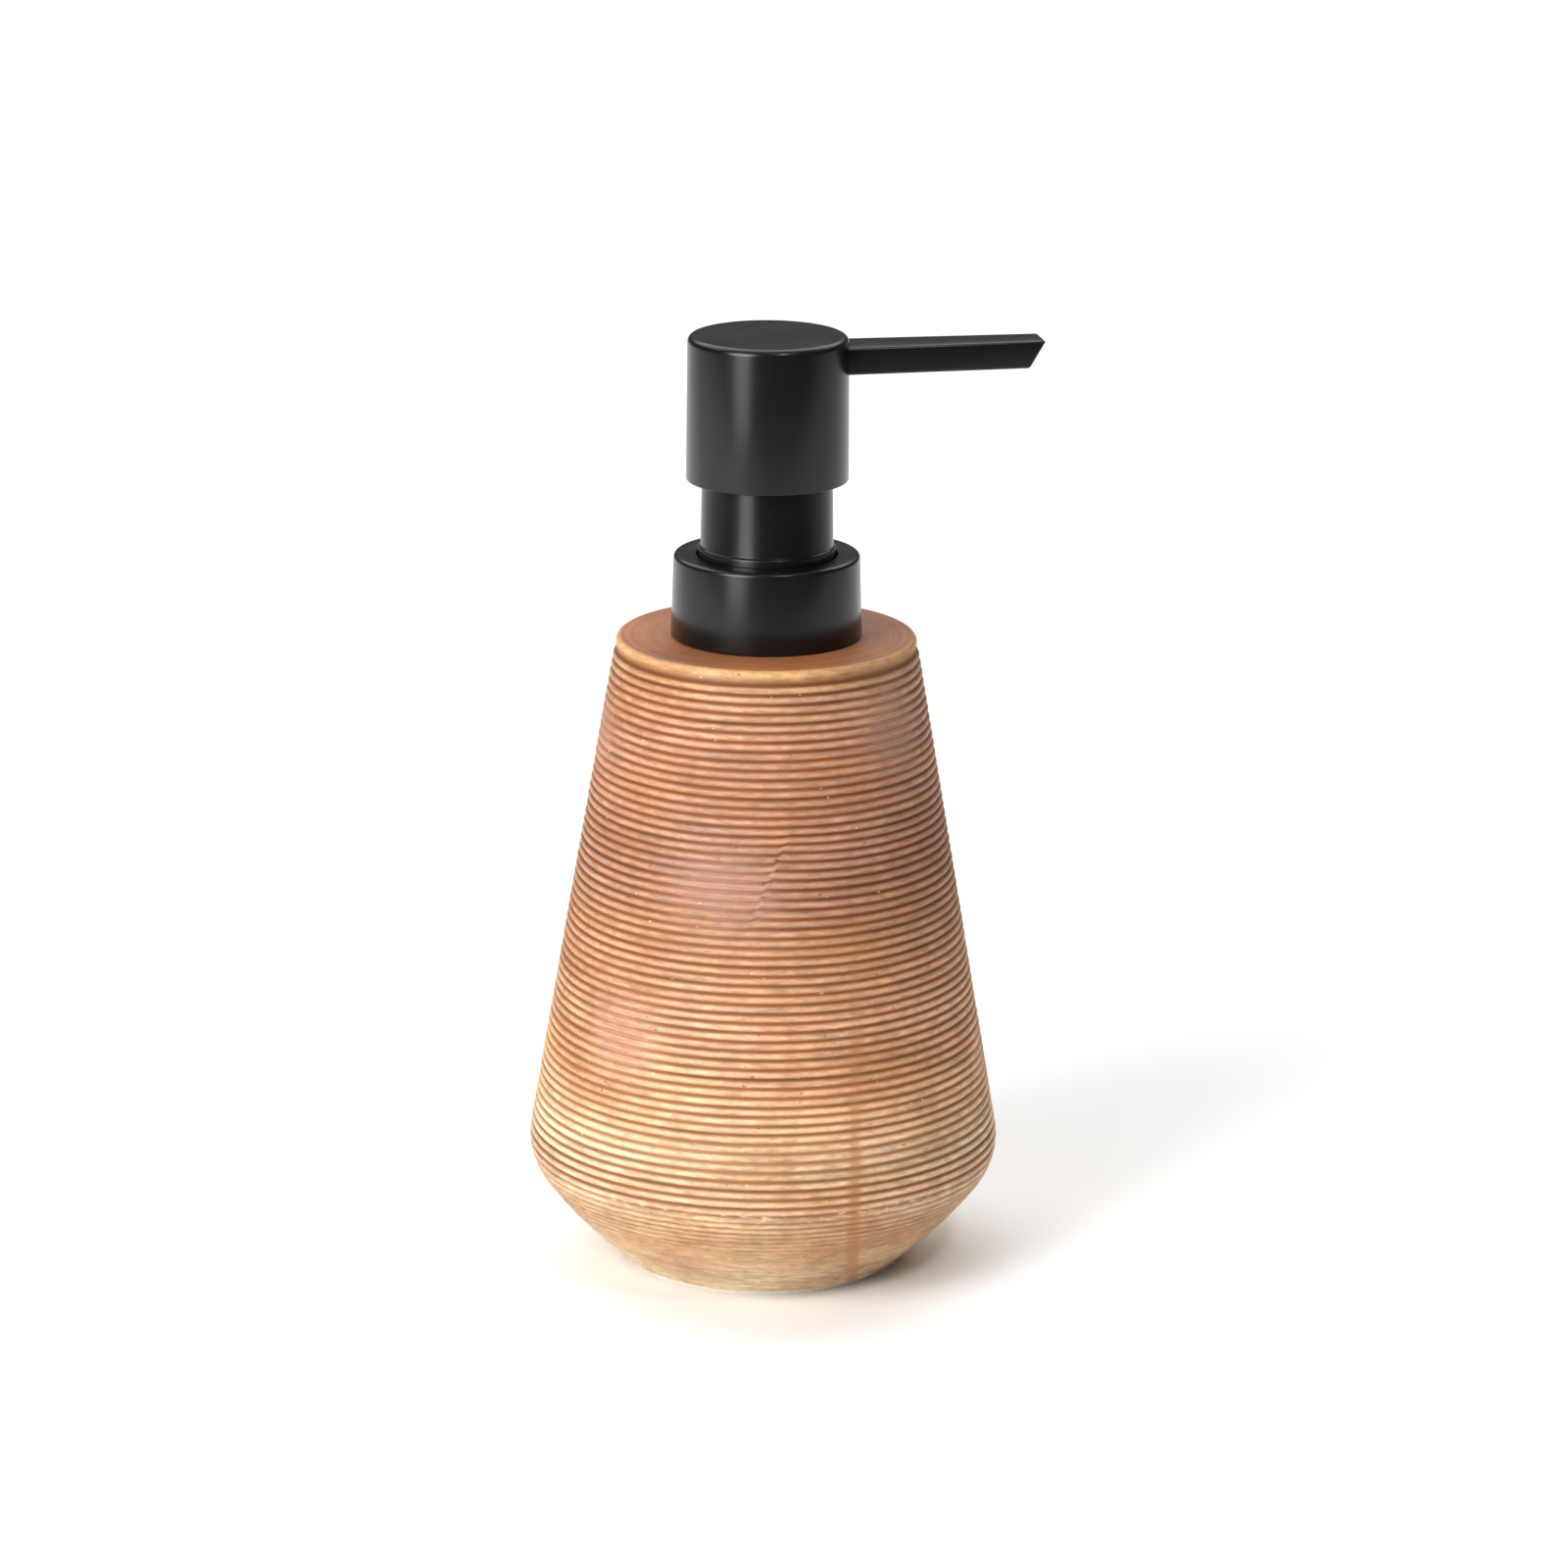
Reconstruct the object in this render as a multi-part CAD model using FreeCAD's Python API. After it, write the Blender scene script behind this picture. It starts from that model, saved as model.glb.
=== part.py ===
# Soap pump dispenser. Millimetres, +Z up, origin at the centre of the underside of the foot pad.
# The pump's axis is the Z axis and the spout points along +X.
import FreeCAD, Part
import math
import os

# Heights of the main edges
PAD_THICKNESS = 1.2
FLOOR_Z = 6.5
SHOULDER_Z = 115.9
COLLAR_BOTTOM_Z = 116.1
COLLAR_TOP_Z = 130.8
HEAD_RIM_Z = 144.3
HEAD_TOP_Z = 170.1

# Vessel: a straight cone, a rounded belly and a slightly bulged underside, all tangent
SHOULDER_R = 26.8
SHOULDER_THICKNESS = 9.0
RIM_ROUND = 1.0
CONE_LEAN = math.radians(9.6)
CONE_LENGTH = 92.2
BELLY_ROUND = 11.5
BELLY_END = math.radians(-37.0)
UNDER_ROUND = 78.0
FOOT_ROUND = 0.8
CORNER_SWELL = 0.2
WALL = 4.5
MOUTH_R = 12.05

# Turned grooves that leave the ribs, measured along the wall from the shoulder's corner
FIRST_GROOVE = 2.6
GROOVE_PITCH = 1.645
GROOVE_COUNT = 57
GROOVE_DEPTH = 0.32
FINE_PITCH = 1.8
FINE_COUNT = 6
FINE_DEPTH = 0.15

# 28 mm bottle thread
THREAD_PITCH = 4.233
THREAD_CREST_R = 13.7
THREAD_ROOT_R = 12.55
THREAD_START_Z = 118.4
BUSH_TURNS = 1.25
CAP_CREST_R = 12.95
CAP_ROOT_R = 14.15
CAP_TURNS = 1.0
CAP_START_TURN = 0.75
TOOTH_BASE = 1.1
TOOTH_TIP = 0.45
TOOTH_SINK = 0.2

# Neck bush and the parts clamped on it
BUSH_BORE_R = 9.0
BUSH_PLUG_R = 12.0
BUSH_FLANGE_R = 14.6
BUSH_FLANGE_TOP_Z = 117.1
BUSH_BOTTOM_Z = 105.0
BUSH_TOP_Z = 126.2
RING_WIRE_R = 0.85
RING_HEIGHTS = (109.0, 113.0)
GASKET_R = 12.9
HOUSING_FLANGE_Z = 127.0
HOUSING_FLANGE_R = 12.9
SLEEVE_BOTTOM_Z = 128.2

# Closure
CAP_R = 15.35
CAP_BOTTOM_Z = 117.4
CAP_TOP_Z = 129.5
CLOSURE_HOLE_R = 12.5
PLATE = 1.2
COLLAR_BOTTOM_R = 17.0
COLLAR_TOP_R = 16.58
COLLAR_BORE_R = 15.4
EDGE_ROUND = 0.45

# Neck sleeve and stem guide
SLEEVE_BASE_R = 12.2
SLEEVE_BASE_TOP_Z = 132.3
SLEEVE_LOW_R = 11.8
SLEEVE_HIGH_R = 11.6
SLEEVE_TOP_Z = 147.0
SLEEVE_BORE_R = 10.4
GUIDE_R = 5.2
GUIDE_FLANGE_R = 6.4
GUIDE_BOTTOM_Z = 138.5
RUNNING = 0.05

# Pump cylinder, rod and valves
BORE_R = 6.5
HOUSING_R = 7.5
SPIGOT_R = 7.9
HOUSING_TOP_Z = 131.0
BORE_BOTTOM_Z = 86.5
BASE_THICKNESS = 1.0
CHAMBER_R = 3.2
SEAT_TOP_Z = 80.0
SEAT_BOTTOM_Z = 78.0
INLET_R = 1.6
SOCKET_R = 4.2
TUBE_R = 2.6
TUBE_BORE_R = 1.8
TUBE_TOP_Z = 76.0
TUBE_BOTTOM_Z = 9.0
TUBE_SLANT = 45
SOCKET_BOTTOM_Z = 68.0
INLET_BALL_R = 2.4
CAGE_TOP_Z = 88.0
CAGE_BOTTOM_Z = 83.6
CAGE_SLOT = 1.2
BALL_GAP = 0.02
ROD_BORE_R = 1.4
ROD_R = 3.0
ROD_BOTTOM_Z = 104.0
SPRING_SEAT_Z = 110.0
SPRING_SEAT_R = 5.0
PISTON_BOTTOM_Z = 112.0
PISTON_TOP_Z = 120.0
PISTON_WAIST_R = 5.5
LIP_HEIGHT = 1.5
LIP_REACH = 1.0
ROD_SHOULDER_Z = 126.0
ROD_TOP_Z = 132.0
OUTLET_BALL_R = 1.9
SPRING_R = 4.3
SPRING_WIRE_R = 0.45
SPRING_TURNS = 6
SPRING_RUNS_PER_TURN = 16

# Head
HEAD_LOW_R = 14.42
HEAD_HIGH_R = 14.27
HEAD_ROUND = 1.0
HEAD_BORE_R = 13.0
HEAD_CEILING_Z = 168.5
STEM_R = 3.6
STEM_BORE_R = 2.4
STEM_TOP_Z = 163.5
CORE_BOTTOM_Z = 160.0
CORE_BOSS_R = 5.6
CORE_DISC_R = 12.9
CORE_DISC_Z = 166.9

# Spout
SPOUT_TOP_Z = 168.2
SPOUT_BOTTOM_Z = 163.3
SPOUT_ROOT_X = 12.2
SPOUT_TIP_X = 49.7
SPOUT_ROOT_WIDTH = 9.2
SPOUT_TIP_WIDTH = 7.4
SPOUT_CUT = 2.9
SPOUT_ROUND = 0.45
LINER_R = 1.5
LINER_BORE_R = 1.0
LINER_START_X = 5.0
LINER_RECESS = 0.6

# The sweep's corner style: 0 transformed, 1 mitred, 2 round
MITRED = 1

AXIS = FreeCAD.Vector(0, 0, 1)
CENTRE = FreeCAD.Vector(0, 0, 0)


def point(radius, height):
    """A point of a profile, in the XZ half plane."""
    return FreeCAD.Vector(radius, 0, height)


def line(start, end):
    return Part.LineSegment(point(*start), point(*end)).toShape()


def arc(start, middle, end):
    return Part.Arc(point(*start), point(*middle), point(*end)).toShape()


def spun(edges):
    """The solid that a closed profile sweeps round the pump's axis."""
    return Part.Face(Part.Wire(edges)).revolve(CENTRE, AXIS, 360)


def turned(*corners):
    """A turned solid with a straight-sided profile."""
    edges = [line(a, b) for a, b in zip(corners, corners[1:] + corners[:1])]
    return spun(edges)


def ball(radius, height):
    return Part.makeSphere(radius, FreeCAD.Vector(0, 0, height))


def pipe_along_x(radius, start, end, height):
    base = FreeCAD.Vector(start, 0, height)
    return Part.makeCylinder(radius, end - start, base, FreeCAD.Vector(1, 0, 0))


# Centres of the vessel's two round stretches, each tangent to the stretch above it
CONE_END = (SHOULDER_R + CONE_LENGTH * math.sin(CONE_LEAN), SHOULDER_Z - CONE_LENGTH * math.cos(CONE_LEAN))
BELLY_CENTRE = (CONE_END[0] - BELLY_ROUND * math.cos(CONE_LEAN), CONE_END[1] - BELLY_ROUND * math.sin(CONE_LEAN))
UNDER_CENTRE = (
    BELLY_CENTRE[0] - (UNDER_ROUND - BELLY_ROUND) * math.cos(BELLY_END),
    BELLY_CENTRE[1] - (UNDER_ROUND - BELLY_ROUND) * math.sin(BELLY_END),
)


def wall_point(along, inset=0.0):
    """The point on the vessel's wall at a distance along it from the shoulder's corner, moved inwards."""
    if along <= CONE_LENGTH:
        radius = SHOULDER_R + along * math.sin(CONE_LEAN) - inset * math.cos(CONE_LEAN)
        return (radius, SHOULDER_Z - along * math.cos(CONE_LEAN) - inset * math.sin(CONE_LEAN))
    angle = CONE_LEAN - (along - CONE_LENGTH) / BELLY_ROUND
    if angle >= BELLY_END:
        reach = BELLY_ROUND - inset
        return (BELLY_CENTRE[0] + reach * math.cos(angle), BELLY_CENTRE[1] + reach * math.sin(angle))
    angle = BELLY_END - (BELLY_END - angle) * BELLY_ROUND / UNDER_ROUND
    reach = UNDER_ROUND - inset
    return (UNDER_CENTRE[0] + reach * math.cos(angle), UNDER_CENTRE[1] + reach * math.sin(angle))


def along_at_height(height):
    """Where the bulged underside passes a height, as a distance along the wall."""
    angle = math.asin((height - UNDER_CENTRE[1]) / UNDER_ROUND)
    belly_length = (CONE_LEAN - BELLY_END) * BELLY_ROUND
    return CONE_LENGTH + belly_length + (BELLY_END - angle) * UNDER_ROUND


def grooves(first, count, pitch, depth):
    """Places down the wall, as (distance along it, inset): a crest and a groove for each, then a last crest."""
    places = []
    for number in range(count):
        groove = first + number * pitch
        places.append((groove - pitch / 2, 0.0))
        places.append((groove, depth))
    places.append((groove + pitch / 2, 0.0))
    return places


def vessel():
    """Bottle with straight-sided ribs, a flat shoulder, a straight mouth and one wall thickness."""
    fine_start = FIRST_GROOVE + GROOVE_COUNT * GROOVE_PITCH
    places = [(RIM_ROUND, 0.0)]
    places += grooves(FIRST_GROOVE, GROOVE_COUNT, GROOVE_PITCH, GROOVE_DEPTH)
    places += grooves(fine_start, FINE_COUNT, FINE_PITCH, FINE_DEPTH)
    wall = [wall_point(*place) for place in places]
    band_start = places[-1][0]
    foot = along_at_height(PAD_THICKNESS + FOOT_ROUND)
    foot_corner = wall_point(foot)
    shoulder_edge = (SHOULDER_R - RIM_ROUND, SHOULDER_Z)
    foot_edge = (foot_corner[0] - FOOT_ROUND, PAD_THICKNESS)
    edges = [line((MOUTH_R, SHOULDER_Z), shoulder_edge)]
    edges.append(arc(shoulder_edge, beyond_chord(shoulder_edge, wall[0]), wall[0]))
    edges += [line(upper, lower) for upper, lower in zip(wall, wall[1:])]
    edges.append(arc(wall[-1], wall_point((band_start + foot) / 2), foot_corner))
    edges.append(arc(foot_corner, beyond_chord(foot_corner, foot_edge), foot_edge))
    edges.append(line(foot_edge, (0, PAD_THICKNESS)))
    edges.append(line((0, PAD_THICKNESS), (0, FLOOR_Z)))
    return spun(edges + cavity_edges())


def beyond_chord(start, end):
    """The middle of a rounded corner: a fifth of the chord out from the chord's own middle."""
    run = end[0] - start[0]
    rise = end[1] - start[1]
    middle = ((start[0] + end[0]) / 2, (start[1] + end[1]) / 2)
    return (middle[0] - rise * CORNER_SWELL, middle[1] + run * CORNER_SWELL)


def cavity_edges():
    """The inside of the vessel, from the middle of the floor up to the mouth."""
    ceiling_z = SHOULDER_Z - SHOULDER_THICKNESS
    drop = (SHOULDER_THICKNESS - WALL * math.sin(CONE_LEAN)) / math.cos(CONE_LEAN)
    ceiling_edge = wall_point(drop, WALL)
    belly_length = (CONE_LEAN - BELLY_END) * BELLY_ROUND
    reach = UNDER_ROUND - WALL
    floor_angle = math.asin((FLOOR_Z - UNDER_CENTRE[1]) / reach)
    floor_edge = (UNDER_CENTRE[0] + reach * math.cos(floor_angle), FLOOR_Z)
    middle_angle = (floor_angle + BELLY_END) / 2
    under_middle = (
        UNDER_CENTRE[0] + reach * math.cos(middle_angle),
        UNDER_CENTRE[1] + reach * math.sin(middle_angle),
    )
    belly_low = wall_point(CONE_LENGTH + belly_length, WALL)
    belly_middle = wall_point(CONE_LENGTH + belly_length / 2, WALL)
    belly_high = wall_point(CONE_LENGTH, WALL)
    return [
        line((0, FLOOR_Z), floor_edge),
        arc(floor_edge, under_middle, belly_low),
        arc(belly_low, belly_middle, belly_high),
        line(belly_high, ceiling_edge),
        line(ceiling_edge, (MOUTH_R, ceiling_z)),
        line((MOUTH_R, ceiling_z), (MOUTH_R, SHOULDER_Z)),
    ]


def foot_pad():
    """Thin foam disc glued under the foot."""
    foot_r = wall_point(along_at_height(PAD_THICKNESS + FOOT_ROUND))[0] - FOOT_ROUND
    return Part.makeCylinder(foot_r - PAD_THICKNESS, PAD_THICKNESS)


def thread(root_r, tip_r, start_z, turns):
    """One trapezoid tooth swept along a helix, its root sunk a little into the wall that carries it."""
    outwards = 1 if tip_r > root_r else -1
    base_r = root_r - outwards * TOOTH_SINK
    helix = Part.makeHelix(THREAD_PITCH, turns * THREAD_PITCH, base_r)
    corners = [
        point(base_r, -TOOTH_BASE),
        point(tip_r, -TOOTH_TIP),
        point(tip_r, TOOTH_TIP),
        point(base_r, TOOTH_BASE),
        point(base_r, -TOOTH_BASE),
    ]
    profile = Part.makePolygon(corners)
    tooth = Part.Wire(helix.Edges).makePipeShell([Part.Wire(profile.Edges)], True, True)
    tooth.translate(FreeCAD.Vector(0, 0, start_z))
    return tooth


def neck_bush():
    """Push-fit plug with two ring grooves, a flange, a bore for the pump and the outside thread."""
    groove_half = RING_WIRE_R + RUNNING
    groove_r = BUSH_PLUG_R - 2 * RING_WIRE_R
    lower, upper = RING_HEIGHTS
    plug = turned(
        (BUSH_BORE_R, BUSH_BOTTOM_Z),
        (BUSH_PLUG_R, BUSH_BOTTOM_Z),
        (BUSH_PLUG_R, lower - groove_half),
        (groove_r, lower - groove_half),
        (groove_r, lower + groove_half),
        (BUSH_PLUG_R, lower + groove_half),
        (BUSH_PLUG_R, upper - groove_half),
        (groove_r, upper - groove_half),
        (groove_r, upper + groove_half),
        (BUSH_PLUG_R, upper + groove_half),
        (BUSH_PLUG_R, SHOULDER_Z),
        (BUSH_FLANGE_R, SHOULDER_Z),
        (BUSH_FLANGE_R, BUSH_FLANGE_TOP_Z),
        (THREAD_ROOT_R, BUSH_FLANGE_TOP_Z),
        (THREAD_ROOT_R, BUSH_TOP_Z),
        (BUSH_BORE_R, BUSH_TOP_Z),
    )
    return plug.fuse(thread(THREAD_ROOT_R, THREAD_CREST_R, THREAD_START_Z, BUSH_TURNS))


def bush_o_rings():
    """Two rubber rings in the plug's grooves, just clear of the mouth's wall."""
    middle_r = BUSH_PLUG_R - RING_WIRE_R
    rings = [Part.makeTorus(middle_r, RING_WIRE_R, FreeCAD.Vector(0, 0, z)) for z in RING_HEIGHTS]
    return Part.makeCompound(rings)


def neck_gasket():
    """Flat ring between the bush and the pump's flange."""
    return turned(
        (HOUSING_R + RUNNING, BUSH_TOP_Z),
        (GASKET_R, BUSH_TOP_Z),
        (GASKET_R, HOUSING_FLANGE_Z),
        (HOUSING_R + RUNNING, HOUSING_FLANGE_Z),
    )


def pump_housing():
    """Pump cylinder with its clamping flange, ball chamber, cone seat and dip tube socket."""
    return turned(
        (TUBE_R + RUNNING, SOCKET_BOTTOM_Z),
        (SOCKET_R, SOCKET_BOTTOM_Z),
        (SOCKET_R, SEAT_TOP_Z),
        (HOUSING_R, BORE_BOTTOM_Z - BASE_THICKNESS),
        (HOUSING_R, HOUSING_FLANGE_Z),
        (HOUSING_FLANGE_R, HOUSING_FLANGE_Z),
        (HOUSING_FLANGE_R, SLEEVE_BOTTOM_Z),
        (SPIGOT_R, SLEEVE_BOTTOM_Z),
        (SPIGOT_R, HOUSING_TOP_Z),
        (BORE_R, HOUSING_TOP_Z),
        (BORE_R, BORE_BOTTOM_Z),
        (CHAMBER_R, BORE_BOTTOM_Z),
        (CHAMBER_R, SEAT_TOP_Z),
        (INLET_R, SEAT_BOTTOM_Z),
        (INLET_R, TUBE_TOP_Z),
        (TUBE_R + RUNNING, TUBE_TOP_Z),
    )


def inlet_ball():
    """Steel ball resting on the cone seat at the bottom of the chamber."""
    slope = (CHAMBER_R - INLET_R) / (SEAT_TOP_Z - SEAT_BOTTOM_Z)
    lift = ((INLET_BALL_R + BALL_GAP) * math.hypot(1, slope) - INLET_R) / slope
    return ball(INLET_BALL_R, SEAT_BOTTOM_Z + lift)


def ball_cage():
    """Insert that seats the spring and keeps the lower ball in, with cross slots for the soap."""
    spigot_r = CHAMBER_R - RUNNING
    cage = turned(
        (INLET_R, CAGE_BOTTOM_Z),
        (spigot_r, CAGE_BOTTOM_Z),
        (spigot_r, BORE_BOTTOM_Z),
        (BORE_R - RUNNING, BORE_BOTTOM_Z),
        (BORE_R - RUNNING, CAGE_TOP_Z),
        (INLET_R, CAGE_TOP_Z),
    )
    slot = Part.makeBox(2 * spigot_r, CAGE_SLOT, CAGE_SLOT)
    slot.translate(FreeCAD.Vector(-spigot_r, -CAGE_SLOT / 2, CAGE_BOTTOM_Z))
    crossing = slot.copy()
    crossing.rotate(CENTRE, AXIS, 90)
    return cage.cut(slot).cut(crossing)


def dip_tube():
    """Straight tube to just above the floor, its end cut on the slant so that it can't seal itself off."""
    height = TUBE_TOP_Z - TUBE_BOTTOM_Z
    base = FreeCAD.Vector(0, 0, TUBE_BOTTOM_Z)
    tube = Part.makeCylinder(TUBE_R, height, base).cut(Part.makeCylinder(TUBE_BORE_R, height, base))
    side = 4 * TUBE_R
    wedge = Part.makeBox(side, side, side)
    wedge.translate(FreeCAD.Vector(-side, -side / 2, -side))
    wedge.rotate(CENTRE, FreeCAD.Vector(0, 1, 0), TUBE_SLANT)
    wedge.translate(FreeCAD.Vector(TUBE_R, 0, TUBE_BOTTOM_Z))
    return tube.cut(wedge)


def neck_sleeve():
    """Fixed cylinder between collar and head, snapped on the housing, with a rounded base flange."""
    ledge_z = SLEEVE_BOTTOM_Z + PLATE
    plate_z = SLEEVE_TOP_Z - PLATE
    hole_r = GUIDE_R + RUNNING
    corner = EDGE_ROUND * (1 - math.sqrt(0.5))
    edges = [
        line((SPIGOT_R + RUNNING, SLEEVE_BOTTOM_Z), (SLEEVE_BASE_R, SLEEVE_BOTTOM_Z)),
        line((SLEEVE_BASE_R, SLEEVE_BOTTOM_Z), (SLEEVE_BASE_R, SLEEVE_BASE_TOP_Z - EDGE_ROUND)),
        arc(
            (SLEEVE_BASE_R, SLEEVE_BASE_TOP_Z - EDGE_ROUND),
            (SLEEVE_BASE_R - corner, SLEEVE_BASE_TOP_Z - corner),
            (SLEEVE_LOW_R, SLEEVE_BASE_TOP_Z),
        ),
        line((SLEEVE_LOW_R, SLEEVE_BASE_TOP_Z), (SLEEVE_HIGH_R, SLEEVE_TOP_Z)),
        line((SLEEVE_HIGH_R, SLEEVE_TOP_Z), (hole_r, SLEEVE_TOP_Z)),
        line((hole_r, SLEEVE_TOP_Z), (hole_r, plate_z)),
        line((hole_r, plate_z), (SLEEVE_BORE_R, plate_z)),
        line((SLEEVE_BORE_R, plate_z), (SLEEVE_BORE_R, ledge_z)),
        line((SLEEVE_BORE_R, ledge_z), (SPIGOT_R + RUNNING, ledge_z)),
        line((SPIGOT_R + RUNNING, ledge_z), (SPIGOT_R + RUNNING, SLEEVE_BOTTOM_Z)),
    ]
    return spun(edges)


def rod_guide():
    """Flanged bush in the top of the sleeve that the stem slides and turns in."""
    plate_z = SLEEVE_TOP_Z - PLATE
    return turned(
        (STEM_R + RUNNING, GUIDE_BOTTOM_Z),
        (GUIDE_R, GUIDE_BOTTOM_Z),
        (GUIDE_R, plate_z - PLATE),
        (GUIDE_FLANGE_R, plate_z - PLATE),
        (GUIDE_FLANGE_R, plate_z),
        (GUIDE_R, plate_z),
        (GUIDE_R, SLEEVE_TOP_Z),
        (STEM_R + RUNNING, SLEEVE_TOP_Z),
    )


def screw_cap():
    """Threaded inner ring of the closure, in mesh with the bush and half a pitch from its tooth."""
    ring = turned(
        (CAP_ROOT_R, CAP_BOTTOM_Z),
        (CAP_R, CAP_BOTTOM_Z),
        (CAP_R, CAP_TOP_Z),
        (CLOSURE_HOLE_R, CAP_TOP_Z),
        (CLOSURE_HOLE_R, CAP_TOP_Z - PLATE),
        (CAP_ROOT_R, CAP_TOP_Z - PLATE),
    )
    start_z = THREAD_START_Z + (CAP_START_TURN - 0.5) * THREAD_PITCH
    tooth = thread(CAP_ROOT_R, CAP_CREST_R, start_z, CAP_TURNS)
    tooth.rotate(CENTRE, AXIS, 360 * CAP_START_TURN)
    return ring.fuse(tooth)


def collar_shell():
    """Smooth outer ring of the closure, slightly tapered, with a rounded top edge."""
    corner = EDGE_ROUND * (1 - math.sqrt(0.5))
    plate_z = COLLAR_TOP_Z - PLATE
    edges = [
        line((COLLAR_BORE_R, COLLAR_BOTTOM_Z), (COLLAR_BOTTOM_R, COLLAR_BOTTOM_Z)),
        line((COLLAR_BOTTOM_R, COLLAR_BOTTOM_Z), (COLLAR_TOP_R, COLLAR_TOP_Z - EDGE_ROUND)),
        arc(
            (COLLAR_TOP_R, COLLAR_TOP_Z - EDGE_ROUND),
            (COLLAR_TOP_R - corner, COLLAR_TOP_Z - corner),
            (COLLAR_TOP_R - EDGE_ROUND, COLLAR_TOP_Z),
        ),
        line((COLLAR_TOP_R - EDGE_ROUND, COLLAR_TOP_Z), (CLOSURE_HOLE_R, COLLAR_TOP_Z)),
        line((CLOSURE_HOLE_R, COLLAR_TOP_Z), (CLOSURE_HOLE_R, plate_z)),
        line((CLOSURE_HOLE_R, plate_z), (COLLAR_BORE_R, plate_z)),
        line((COLLAR_BORE_R, plate_z), (COLLAR_BORE_R, COLLAR_BOTTOM_Z)),
    ]
    return spun(edges)


def piston_rod():
    """Hollow rod with a spring collar, a waist for the piston and a spigot that the stem turns on."""
    return turned(
        (ROD_BORE_R, ROD_BOTTOM_Z),
        (ROD_R, ROD_BOTTOM_Z),
        (ROD_R, SPRING_SEAT_Z),
        (SPRING_SEAT_R, SPRING_SEAT_Z),
        (SPRING_SEAT_R, PISTON_BOTTOM_Z),
        (ROD_R, PISTON_BOTTOM_Z),
        (ROD_R, PISTON_TOP_Z),
        (STEM_R, PISTON_TOP_Z),
        (STEM_R, ROD_SHOULDER_Z),
        (STEM_BORE_R - 2 * RUNNING, ROD_SHOULDER_Z),
        (STEM_BORE_R - 2 * RUNNING, ROD_TOP_Z),
        (ROD_BORE_R, ROD_TOP_Z),
    )


def piston_seal():
    """Soft cup on the rod, its lower lip clear round the spring collar; both lips run on the cylinder's bore."""
    lip_r = BORE_R - RUNNING
    hub_r = ROD_R + RUNNING
    collar_r = SPRING_SEAT_R + RUNNING
    return turned(
        (hub_r, PISTON_BOTTOM_Z),
        (collar_r, PISTON_BOTTOM_Z),
        (collar_r, PISTON_BOTTOM_Z - LIP_REACH),
        (lip_r, PISTON_BOTTOM_Z - LIP_REACH),
        (lip_r, PISTON_BOTTOM_Z + LIP_HEIGHT),
        (PISTON_WAIST_R, PISTON_BOTTOM_Z + 2 * LIP_HEIGHT),
        (PISTON_WAIST_R, PISTON_TOP_Z - 2 * LIP_HEIGHT),
        (lip_r, PISTON_TOP_Z - LIP_HEIGHT),
        (lip_r, PISTON_TOP_Z + LIP_REACH),
        (PISTON_WAIST_R, PISTON_TOP_Z + LIP_REACH),
        (PISTON_WAIST_R - LIP_REACH, PISTON_TOP_Z),
        (hub_r, PISTON_TOP_Z),
    )


def outlet_ball():
    """Steel ball on the edge of the rod's bore, inside the stem."""
    rise = math.sqrt(OUTLET_BALL_R ** 2 - ROD_BORE_R ** 2)
    return ball(OUTLET_BALL_R, ROD_TOP_Z + rise + BALL_GAP)


def return_spring():
    """Steel coil spring between the ball cage and the rod's collar, as short mitred runs of round wire."""
    low_z = CAGE_TOP_Z + SPRING_WIRE_R + RUNNING
    high_z = SPRING_SEAT_Z - SPRING_WIRE_R - RUNNING
    count = SPRING_TURNS * SPRING_RUNS_PER_TURN
    route = []
    for number in range(count + 1):
        angle = 2 * math.pi * number / SPRING_RUNS_PER_TURN
        height = low_z + (high_z - low_z) * number / count
        route.append(FreeCAD.Vector(SPRING_R * math.cos(angle), SPRING_R * math.sin(angle), height))
    section = Part.Wire([Part.makeCircle(SPRING_WIRE_R, route[0], route[1] - route[0])])
    sweep = Part.BRepOffsetAPI.MakePipeShell(Part.makePolygon(route))
    sweep.setTransitionMode(MITRED)
    sweep.add(section)
    sweep.build()
    sweep.makeSolid()
    return sweep.shape()


def stem():
    """Tube that carries the soap from the rod up to the head."""
    low_z = ROD_SHOULDER_Z + 2 * RUNNING
    return turned((STEM_BORE_R, low_z), (STEM_R, low_z), (STEM_R, STEM_TOP_Z), (STEM_BORE_R, STEM_TOP_Z))


def channel_z():
    return (SPOUT_TOP_Z + SPOUT_BOTTOM_Z) / 2


def actuator_core():
    """Moulding inside the head: stem socket, chamber, cross channel and a disc notched for the spout."""
    boss = turned(
        (0, CORE_BOTTOM_Z),
        (CORE_BOSS_R, CORE_BOTTOM_Z),
        (CORE_BOSS_R, CORE_DISC_Z),
        (CORE_DISC_R, CORE_DISC_Z),
        (CORE_DISC_R, HEAD_CEILING_Z),
        (0, HEAD_CEILING_Z),
    )
    arm_r = LINER_R + PLATE
    core = boss.fuse(pipe_along_x(arm_r, 0, SPOUT_ROOT_X - RUNNING, channel_z()))
    socket = Part.makeCylinder(STEM_R, STEM_TOP_Z - CORE_BOTTOM_Z, FreeCAD.Vector(0, 0, CORE_BOTTOM_Z))
    chamber_top = channel_z() + LINER_BORE_R
    chamber = Part.makeCylinder(STEM_BORE_R, chamber_top - STEM_TOP_Z, FreeCAD.Vector(0, 0, STEM_TOP_Z))
    port = pipe_along_x(LINER_BORE_R, 0, LINER_START_X, channel_z())
    seat = pipe_along_x(LINER_R + RUNNING, LINER_START_X, SPOUT_ROOT_X, channel_z())
    return core.cut(socket).cut(chamber).cut(port).cut(seat).cut(spout_blank(RUNNING))


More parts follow.
